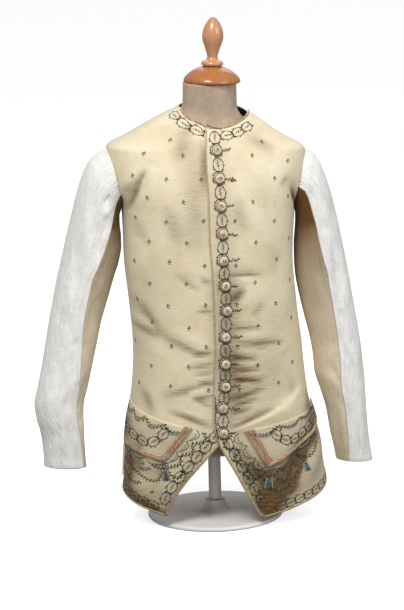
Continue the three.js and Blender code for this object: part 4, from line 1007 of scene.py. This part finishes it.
def leaf(work, tint, at, turn, length, width, base=0.0):
    """One leaf from a place, pointing along turn degrees."""
    t = np.linspace(0, 1, 5)
    path = np.stack([t * length, 0.12 * length * np.sin(pi * t)], -1)
    stroke(work, tint, near(at, path, turn), LEAF_WIDTH * width, base=base)


def laid_line(angle, z, step):
    """The same line with its points about step mm apart over the cloth, and how far on each is."""
    run = np.linalg.norm(np.diff(section_point(body_section(z), angle, z), axis=0), axis=-1)
    far = np.concatenate([[0], np.cumsum(run)])
    at = np.linspace(0, far[-1], max(2, round(far[-1] / step) + 1))
    return np.interp(at, far, angle), np.interp(at, far, z), at


def heading(a, b):
    """The direction in degrees over the cloth from one place to another."""
    girth, climb, lean = gauge(np.array((a[0] + b[0]) / 2), np.array((a[1] + b[1]) / 2))
    return np.degrees(atan2((b[1] - a[1]) * climb, (b[0] - a[0]) * girth + (b[1] - a[1]) * lean))


def vine(work, line, width=0.5, leaf_step=5.5, leaf_long=3.4, stem="leaf", leaves=("leaf", "green"), base=0.0):
    """A stem with leaves set to each side in turn."""
    angle, z, far = laid_line(*line, 1.8)
    stroke(work, stem, (angle, z), width, base=base)
    a, h, at = laid_line(angle, z, leaf_step)
    for i in range(1, len(a) - 1):
        way = heading((a[i - 1], h[i - 1]), (a[i + 1], h[i + 1]))
        leaf(work, leaves[i % len(leaves)], (a[i], h[i]), way + (52 if i % 2 else -52), leaf_long,
             0.27 * leaf_long, base=base)


def oval(work, at, long, wide, turn, flip=1, base=0.0, inner=True):
    """A link of the chain: one side stitched solid in blue, the other leafy."""
    t = np.linspace(0, 2 * pi, 29)[:-1]
    shape = np.stack([long * np.sin(t), flip * wide * np.cos(t)], -1)
    solid, leafy = shape[:15], np.concatenate([shape[14:], shape[:1]])
    stroke(work, "blue", near(at, solid, turn), np.interp(np.arange(15), [0, 7, 14], [0.6, 1.15, 0.6]), base=base)
    stroke(work, "leaf", near(at, leafy, turn), 0.75, base=base)
    stroke(work, "pale", near(at, solid[2:13] * 0.78, turn), np.interp(np.arange(11), [0, 5, 10], [0.5, 1.3, 0.5]),
           base=base - 0.2)
    for i in range(1, len(leafy) - 1, 2):
        x, y = leafy[i]
        point = near(at, [(x, y)], turn)
        way = np.degrees(atan2(y / wide, x / long)) + turn
        leaf(work, "leaf" if i % 4 == 1 else "dark", (point[0][0], point[1][0]), way + (34 if i % 4 == 1 else -34),
             3.9, 1.0, base=base)
    if inner:
        stroke(work, "leaf", near(at, [(-0.62 * long, -0.8), (0, 0.3), (0.5 * long, 0)], turn), 0.5, base=base)
        for x, way, tint in ((-0.3, 48, "leaf"), (-0.15, -52, "dark"), (0.12, 50, "dark"), (0.25, -44, "leaf"),
                             (0.45, 8, "rust")):
            point = near(at, [(x * long, 0)], turn)
            leaf(work, tint, (point[0][0], point[1][0]), way + turn, 0.42 * wide, 0.75, base=base)


def chain(work, line, period, long, wide, flip=1, base=0.0):
    """Ovals end to end along a line over the cloth."""
    angle, z, far = laid_line(*line, 1.0)
    links = max(1, round(far[-1] / period))
    for link in range(links):
        here = (link + 0.5) / links * far[-1]
        a, b = (np.interp(here + d, far, angle) for d in (-3, 3))
        p, q = (np.interp(here + d, far, z) for d in (-3, 3))
        turn = heading((a, p), (b, q))
        oval(work, ((a + b) / 2, (p + q) / 2), long, wide, turn, flip, base)
        for x, y, way, tint in ((long, 3.4, 112, "dark"), (long, 2.6, 62, "leaf"), (long, -3.4, -66, "leaf"),
                                (long, -2.6, -116, "dark")):
            point = near(((a + b) / 2, (p + q) / 2), [(x, y)], turn)
            leaf(work, tint, (point[0][0], point[1][0]), turn + way, 4.6, 1.0, base)


def sprig(work, at, turn, size):
    """A little plant of six leaves and a bud, scattered over the ground of the silk."""
    for x, y, way, length, width, tint in (
            (0, -4.2, 88, 8.4, 0.55, "leaf"), (0, -0.4, 168, 4.8, 0.9, "leaf"), (0, -0.2, 12, 4.6, 0.9, "dark"),
            (0, 1.4, 128, 3.8, 0.75, "dark"), (0, 1.5, 52, 3.8, 0.75, "leaf"), (0, -2.6, -36, 3.2, 0.55, "green"),
            (0, -2.4, 212, 2.8, 0.5, "green"), (0, 3.9, 92, 1.8, 0.75, "rust")):
        point = near(at, [(x, y)], turn, size)
        leaf(work, tint, (point[0][0], point[1][0]), way + turn, length * size, width * size)


def finish_work(work, front, name):
    """Lays all the stitches on their front and makes them one piece."""
    points = on_front(front, np.concatenate(work["angle"]), np.concatenate(work["z"]),
                      np.concatenate(work["out"]))
    piece = put_mesh(name, points, work["faces"] if front["side"] > 0 else work["faces"])
    tints = list(dict.fromkeys(work["tints"]))
    for tint in tints:
        piece.data.materials.append(floss[tint])
    piece.data.polygons.foreach_set("material_index", [tints.index(t) for t in work["tints"]])
    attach(piece, "root")
    return piece


def new_work():
    return {"angle": [], "z": [], "out": [], "faces": [], "tints": [], "count": 0}


def edge_line(edge, low, high, inset, side):
    """A line inside a front's edge from one height to another, inset mm in from it."""
    z = np.linspace(low, high, 60)
    return beside(angle_at(read(edge, "x", z), z), z, -side * inset)


def hem_line(front, inset, first, last):
    """A line inside a front's hem, inset mm up from it, between two shares of its width."""
    _, edge_angle, edge_z, side_angle, side_z = front_row(front, np.array(0.0))
    share = np.linspace(first, last, 40)
    return beside(edge_angle + (side_angle - edge_angle) * share, edge_z + (side_z - edge_z) * share,
                  front["side"] * inset)


def neck_line(first, last, inset):
    """A line below the neckline between two places across it."""
    x = np.linspace(first, last, 30)
    z = read(NECKLINE, "z", x, "x")
    return beside(angle_at(x, z), z, -inset)


# The pocket's own work, in shares of its flap's width and drop: past 1 is beyond its edge.
def flap_line(name, places, step=2.0):
    line = np.array(smooth_profile(places, 0.02))
    angle, z = flap_place(name, line[:, 0], line[:, 1])
    return laid_line(angle, z, step)[:2]


def scallops(corners, counts, depth):
    """Places along a run of corners that bulge outward between evenly spaced points."""
    places = []
    for (a, b), (c, d), bulges in zip(corners, corners[1:], counts):
        run = np.array([c - a, d - b])
        outward = np.array(depth)
        for t in np.linspace(0, 1, bulges * 8 + 1)[:-1]:
            places.append(np.array([a, b]) + run * t + outward * abs(sin(pi * t * bulges)))
    return places + [np.array(corners[-1])]


def flap_work(work, name):
    flap_edge = FLAP_LIFT + CLOTH
    for band, inset in enumerate((0.02, 0.045, 0.07, 0.095)):
        low, front = 1 - inset, 1 - inset * 0.75
        places = [(0.0, low), (0.5, low), (front - 0.05, low), (front, low - 0.06), (front, 0.5), (front, 0.0)]
        line = flap_line(name, places)
        front_part = np.arange(len(line[1])) > np.argmin(line[1] + 0.2 * np.abs(np.arange(len(line[1])) - len(line[1]) / 2))
        stroke(work, ("binding", "pink")[band % 2], line, np.where(front_part, 2.0, 1.45), base=flap_edge)
    # a rust line along the flap's front edge: painted shade of the gap where the flap stands off the front
    stroke(work, "rust", flap_line(name, [(0.985, 0.96), (0.955, 0.5), (0.975, 0.04)]), 0.95, 0.9, base=flap_edge)
    stroke(work, "leaf", flap_line(name, [(0.0, 0.995), (0.5, 0.995), (0.99, 0.995)]), 0.5, base=flap_edge)
    chain(work, flap_line(name, [(0.04, 0.6), (0.3, 0.62), (0.62, 0.66), (0.74, 0.52), (0.8, 0.18)]),
          24, 12.4, 8.6, 1, base=flap_edge)
    top = scallops([(0.0, 0.07), (0.98, 0.08)], [4], (0, 0.13))
    vine(work, flap_line(name, top), 0.55, 3.6, 4.2, "dark", ("leaf", "dark", "green"), base=flap_edge)
    stroke(work, "blue", flap_line(name, [p + np.array([0, 0.045]) for p in top[1:-1]]), 0.65, base=flap_edge)
    for bulge in range(4):
        stroke(work, "pale", flap_line(name, [p + np.array([0, 0.07]) for p in top[8 * bulge + 2:8 * bulge + 7]]), 1.3,
               base=flap_edge)
    for across in (0.22, 0.47, 0.72):
        angle, z = (float(v) for v in flap_place(name, across, 0.16))
        for way in (-90, -62, -118):
            leaf(work, "blue", (angle, z), way, 5.4, 0.7, base=flap_edge)
    # round the flap, on the skirt: pale shades, a dark blue scallop and a leafy one outside it
    around_flap = scallops([(0.0, 1.05), (1.03, 1.06)], [3], (0, 0.12)) + scallops(
        [(1.035, 1.05), (1.045, 0.04)], [3], (0.066, 0))
    stroke(work, "blue", flap_line(name, around_flap), 0.75)
    for bulge in (0, 1, 2, 3, 4, 5):
        first = 8 * bulge + (bulge > 2) + 2
        inner = [p - np.array([0.0 if bulge < 3 else 0.03, 0.04 if bulge < 3 else 0])
                 for p in around_flap[first:first + 5]]
        stroke(work, "pale", flap_line(name, inner), 1.35)
    vine(work, flap_line(name, scallops([(0.84, 1.22), (1.1, 1.15), (1.11, 0.06)], [1, 3], (0.09, 0.03))), 0.6, 3.4, 5.4,
         "leaf", ("dark", "leaf", "green"))
    for across in (0.3, 0.66):
        angle, z = (float(v) for v in flap_place(name, across, 1.22))
        for way in (-90, -58, -122):
            leaf(work, "blue", (angle, z), way, 6.4, 0.8)


def tassel(work, at, turn, size):
    """A worked tassel: a bow, a knot, a waist and a skirt of blue strands."""
    for x, y, long, way in ((-2.6, 3.2, 2.8, 30), (2.6, 3.2, 2.8, -30)):
        t = np.linspace(0, 2 * pi, 11)[:-1]
        c, d = cos(radians(way)), sin(radians(way))
        loop = np.stack([x + long * np.cos(t) * c - 1.5 * np.sin(t) * d, y + long * np.cos(t) * d
                         + 1.5 * np.sin(t) * c], -1)
        stroke(work, "blue", near(at, loop, turn, size), 0.6, closed=True)
    for y, r in ((0, 1.9), (-4.2, 2.6)):
        ring = np.linspace(0, 2 * pi, 13)[:-1]
        stroke(work, "blue", near(at, np.stack([r * np.cos(ring), y + r * np.sin(ring)], -1), turn, size), 0.8,
               closed=True)
    for lean in (-1, 1):
        halo = smooth_profile([(lean * 2.6, -5), (lean * 4.0, -11), (lean * 5.2, -19)], 2.5)
        stroke(work, "pale", near(at, halo, turn, size), 0.9 * size)
    for strand in range(11):
        lean = (strand - 5) / 5
        path = [(lean * 1.6, -7), (lean * 2.2, -11), (lean * 3.6, -18 - 1.5 * (strand % 2))]
        tint = ("blue", "pale", "dark", "blue")[strand % 4]
        stroke(work, tint, near(at, smooth_profile(path, 2.5), turn, size), 0.42 * size)


for name, front in (("left", front_left), ("right", front_right)):
    side = front["side"]
    work = new_work()
    # the sprigs in columns about 38 mm apart over the cloth, each second one half a drop lower
    for column, x in enumerate((33, 72, 113, 143) if side > 0 else (-25, -58, -91, -124, -147)):
        for row in range(-1, 6):
            z = 668 - 78.5 * row + (39 if column % 2 else 0) + 3 * sin(2.3 * row + 1.7 * column)
            if z < 246 + 0.1 * x * side or z > 752 - 0.36 * abs(x) - (12 if column == 0 else 0):
                continue
            if column > 2 and z > 640 + (22 if abs(x) < 130 else 0):
                continue
            sprig(work, spot(x + 2 * sin(3.1 * row + column), z), 22 * sin(5 * row + 3 * column), 1.0)
    for x, z in ((96, 735), (143, 697), (66, 74)) if side > 0 else ((-77, 736), (-127, 712), (-148, 671), (-133, 70)):
        sprig(work, spot(x, z), 30 * sin(x), 1.0)
    if side > 0:
        # chain down the lap, an oval round each button and one between
        for number, (x, z) in enumerate(BUTTON_PLACES):
            if number:
                px, pz = BUTTON_PLACES[number - 1]
                oval(work, spot((x + px) / 2 - 0.5, (z + pz) / 2), 13.0, 9.6, 90 + 5 * sin(number), (-1) ** number)
            oval(work, spot(x - 1.4, z + 1.2), 12.6, 10.8, 90, -(-1) ** number, inner=False)
            # three dark leaves between each button and the lap's edge: painted shade of the gap beside the lap
            for dy, way in ((-3, 200), (1, 170), (6, 150)):
                point = near(spot(x - 10.5, z), [(0, dy)])
                leaf(work, ("dark", "leaf")[dy == 1], (point[0][0], point[1][0]), way, 4.4, 0.9)
            spray, way_out, size = spot(x + 10, z - 1), 16 * sin(3 * number + 1), 0.85 + 0.2 * sin(2.1 * number)
            stroke(work, "leaf", near(spray, [(0, -0.6), (6, 1.0), (12, -0.4), (17, 1.4)], way_out, size), 0.6)
            for dx, dy, way, tint in ((2, 0, 80, "rust"), (4, 0.6, -70, "leaf"), (7, 1, 62, "dark"), (9, 0.4, -58, "leaf"),
                                      (11, -0.2, 66, "leaf"), (13, 0, -46, "dark"), (16, 1, 40, "green"),
                                      (17, 1.2, -8, "dark")):
                point = near(spray, [(dx, dy)], way_out, size)
                leaf(work, tint, (point[0][0], point[1][0]), way + way_out, 4.6 * size, 1.1)
        oval(work, spot(5.6, 742), 12, 9.6, 84, 1)
        chain(work, neck_line(13, 63, 18.5), 24, 12.2, 8.6, -1)
        stroke(work, "pink", edge_line(front["edge"], 186, 757, 1.2, side), 0.85)
        vine(work, edge_line(front["edge"], 172, 262, 3.6, side), 0.6, 3.4, 3.0, "dark", ("dark", "rust"))
        stroke(work, "binding", neck_line(-8, 76, 2.4), 2.2)
        cut_top, hem_share = 178, (0.02, 0.985)
    else:
        chain(work, neck_line(-48, -6, 17.5), 26, 13.6, 8.8, -1)
        vine(work, near(spot(-4, 742), [(-5, 6), (-5.5, -4), (-4.5, -14)]), 0.7, 3.2, 3.0, "dark", ("dark", "leaf"))
        stroke(work, "binding", neck_line(-48, 20, 2.4), 2.2)
        cut_top, hem_share = 182, (0.02, 0.985)
    low = front["edge"]["z"][0]
    chain(work, edge_line(front["edge"], low + 15, cut_top, 17.5, side), 24.5, 12.4, 9.0, side)
    stroke(work, "binding", edge_line(front["edge"], low + 1.5, cut_top + 12, 2.0, side), 1.8)
    chain(work, hem_line(front, 13.0, 0.12, 0.98), 22.5, 11.6, 7.4, 1)
    stroke(work, "binding", hem_line(front, 2.0, *hem_share), 1.7)
    flap_name = "pocket_flap_" + name
    flap_work(work, flap_name)
    if side > 0:
        swags = [[(98, 102), (110, 90), (124, 91), (134, 106), (141, 124)], [(150, 136), (164, 126), (178, 131), (189, 150)],
                 [(44, 124), (50, 108), (66, 100), (80, 112)], [(84, 84), (98, 72), (118, 72), (136, 86), (152, 100)]]
        tassels = [(88, 106, -5, 1.5), (163, 122, 6, 1.15)]
    else:
        swags = [[(-177, 124), (-166, 110), (-150, 97), (-134, 92), (-120, 97), (-112, 114)],
                 [(-103, 116), (-94, 104), (-80, 106), (-72, 122)], [(-181, 112), (-174, 94), (-164, 84), (-152, 86)],
                 [(-160, 112), (-146, 112), (-134, 118)]]
        tassels = [(-109, 124, 6, 1.5)]
    for places in swags:
        x, z = np.array(smooth_profile(places, 2.0)).T
        vine(work, (angle_at(x, z), z), 0.6, 3.6, 5.2, "leaf", ("leaf", "green", "dark"))
    for x, z, turn, size in tassels:
        tassel(work, spot(x, z), turn, size)
    finish_work(work, front, f"embroidery_{name}")

# ------------------------------------------------------------------ buttons
# Twelve flat wooden moulds covered in pinkish silk, each worked with a small sprig and
# rimmed with a dark cord, sewn on through the lap's edge.

BUTTON_LIFT = 0.7
BUTTON_PROFILE = [(8.0, 0)] + smooth_profile(
    [(8.7, 0.4), (9.0, 1.3), (8.6, 2.4), (7.2, 3.7), (4.8, 4.8), (2.4, 5.3), (0.9, 5.4)], 0.8) + [(0, 5.4)]

# Ribbed silk over a mould: cream gone pink, thinner and darker where fingers have rubbed it.
button_silk, button_tree, button_shader = start_material("pinkish_button_silk", Roughness=0.5, Sheen_Weight=0.3,
                                                         Sheen_Roughness=0.4)
place = add_node(button_tree, "TexCoord").outputs["Object"]
rub = add_node(button_tree, "TexNoise", {"Vector": place, "Scale": 140.0, "Detail": 4.0})
button_colour = add_node(button_tree, "ValToRGB", {"Fac": rub.outputs["Fac"]})
button_colour.color_ramp.elements[0].position, button_colour.color_ramp.elements[1].position = 0.35, 0.65
button_colour.color_ramp.elements[0].color = linear("#B49A7C")
button_colour.color_ramp.elements[1].color = linear("#E6D5BC")
rib = add_node(button_tree, "TexWave", {"Vector": place, "Scale": 1000 / 0.9 * 2 * pi / 20}, bands_direction="Z")
button_bump = add_node(button_tree, "Bump", {"Height": rib.outputs["Fac"], "Strength": 0.5, "Distance": 0.0001})
button_tree.links.new(button_colour.outputs["Color"], button_shader.inputs["Base Color"])
button_tree.links.new(button_bump.outputs["Normal"], button_shader.inputs["Normal"])

pattern = turned("button_pattern", BUTTON_PROFILE, 40)
pattern.data.materials.append(button_silk)
deselect_all()
bpy.ops.mesh.primitive_torus_add(major_segments=40, minor_segments=8, major_radius=8.55 * MM,
                                 minor_radius=0.8 * MM, location=(0, 0, 1.5 * MM))
cord = bpy.context.object
bpy.ops.object.transform_apply(location=True, rotation=True, scale=True)
cord.data.materials.append(floss["dark"])
motif = bpy.data.meshes.new("motif")
points, faces, tints = [], [], []
for x, y, way, length, width, tint in (
        (-0.5, -5.2, 84, 9.4, 0.6, 0), (0, -1.5, 150, 4.8, 1.1, 0), (0, -0.5, 34, 5.0, 1.15, 0),
        (0.2, 1.4, 128, 4.2, 1.0, 0), (0.2, 1.6, 60, 4.2, 1.0, 1), (-4.4, -4.2, 70, 3.6, 0.8, 1),
        (3.6, -4.6, 104, 3.8, 0.8, 0), (-5.8, 1.5, 70, 3.4, 0.8, 0), (5.4, 0.6, 96, 3.4, 0.8, 1)):
    t = np.linspace(0, 1, 5)
    run = np.array([cos(radians(way)), sin(radians(way))])
    line = (np.array([x, y]) + np.outer(t * length, run)) * 1.12
    for (a, b), w in zip(line, LEAF_WIDTH * width):
        for offset, extra in ((-1, -0.1), (0, 0.45), (1, -0.1), (0, -0.3)):
            u, v = a - run[1] * w * offset, b + run[0] * w * offset
            dome = 5.35 * (1 - (min(hypot(u, v), 8.6) / 9.9) ** 2.6)
            points.append((u, v, dome + extra))
    start = len(points) - 20
    for i in range(4):
        faces += [(start + 4 * i + k, start + 4 * i + 4 + k, start + 4 * i + 4 + (k + 1) % 4,
                   start + 4 * i + (k + 1) % 4) for k in range(4)]
    faces += [(start, start + 1, start + 2, start + 3), (start + 19, start + 18, start + 17, start + 16)]
    tints += [tint] * 18
stitches = put_mesh("button_stitches", points, faces)
stitches.data.materials.append(floss["leaf"])
stitches.data.materials.append(floss["rust"])
stitches.data.polygons.foreach_set("material_index", tints)
deselect_all()
for part in (cord, stitches, pattern):
    part.select_set(True)
bpy.context.view_layer.objects.active = pattern
bpy.ops.object.join()

BUTTON_TURNS = [12, -30, 64, 150, -80, 20, 100, -12, 40, -60, 8, 130]
for number, ((x, z), turn) in enumerate(zip(BUTTON_PLACES, BUTTON_TURNS), 1):
    angle, height = (np.array([value]) for value in spot(x, z))
    seat = on_front(front_left, angle, height, np.array([BUTTON_LIFT]))[0]
    normal = Vector(body_normal(angle, height)[0])
    copy = pattern.copy()
    copy.data = pattern.data.copy()
    copy.name = f"button_{number:02d}_covered"
    copy.data.transform(Matrix.Translation(Vector(seat) * MM) @ normal.to_track_quat("Z", "Y").to_matrix().to_4x4()
                        @ Matrix.Rotation(radians(turn), 4, "Z"))
    bpy.context.collection.objects.link(copy)
    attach(copy, "root")
    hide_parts(f"button_{number:02d}")
bpy.data.objects.remove(pattern)
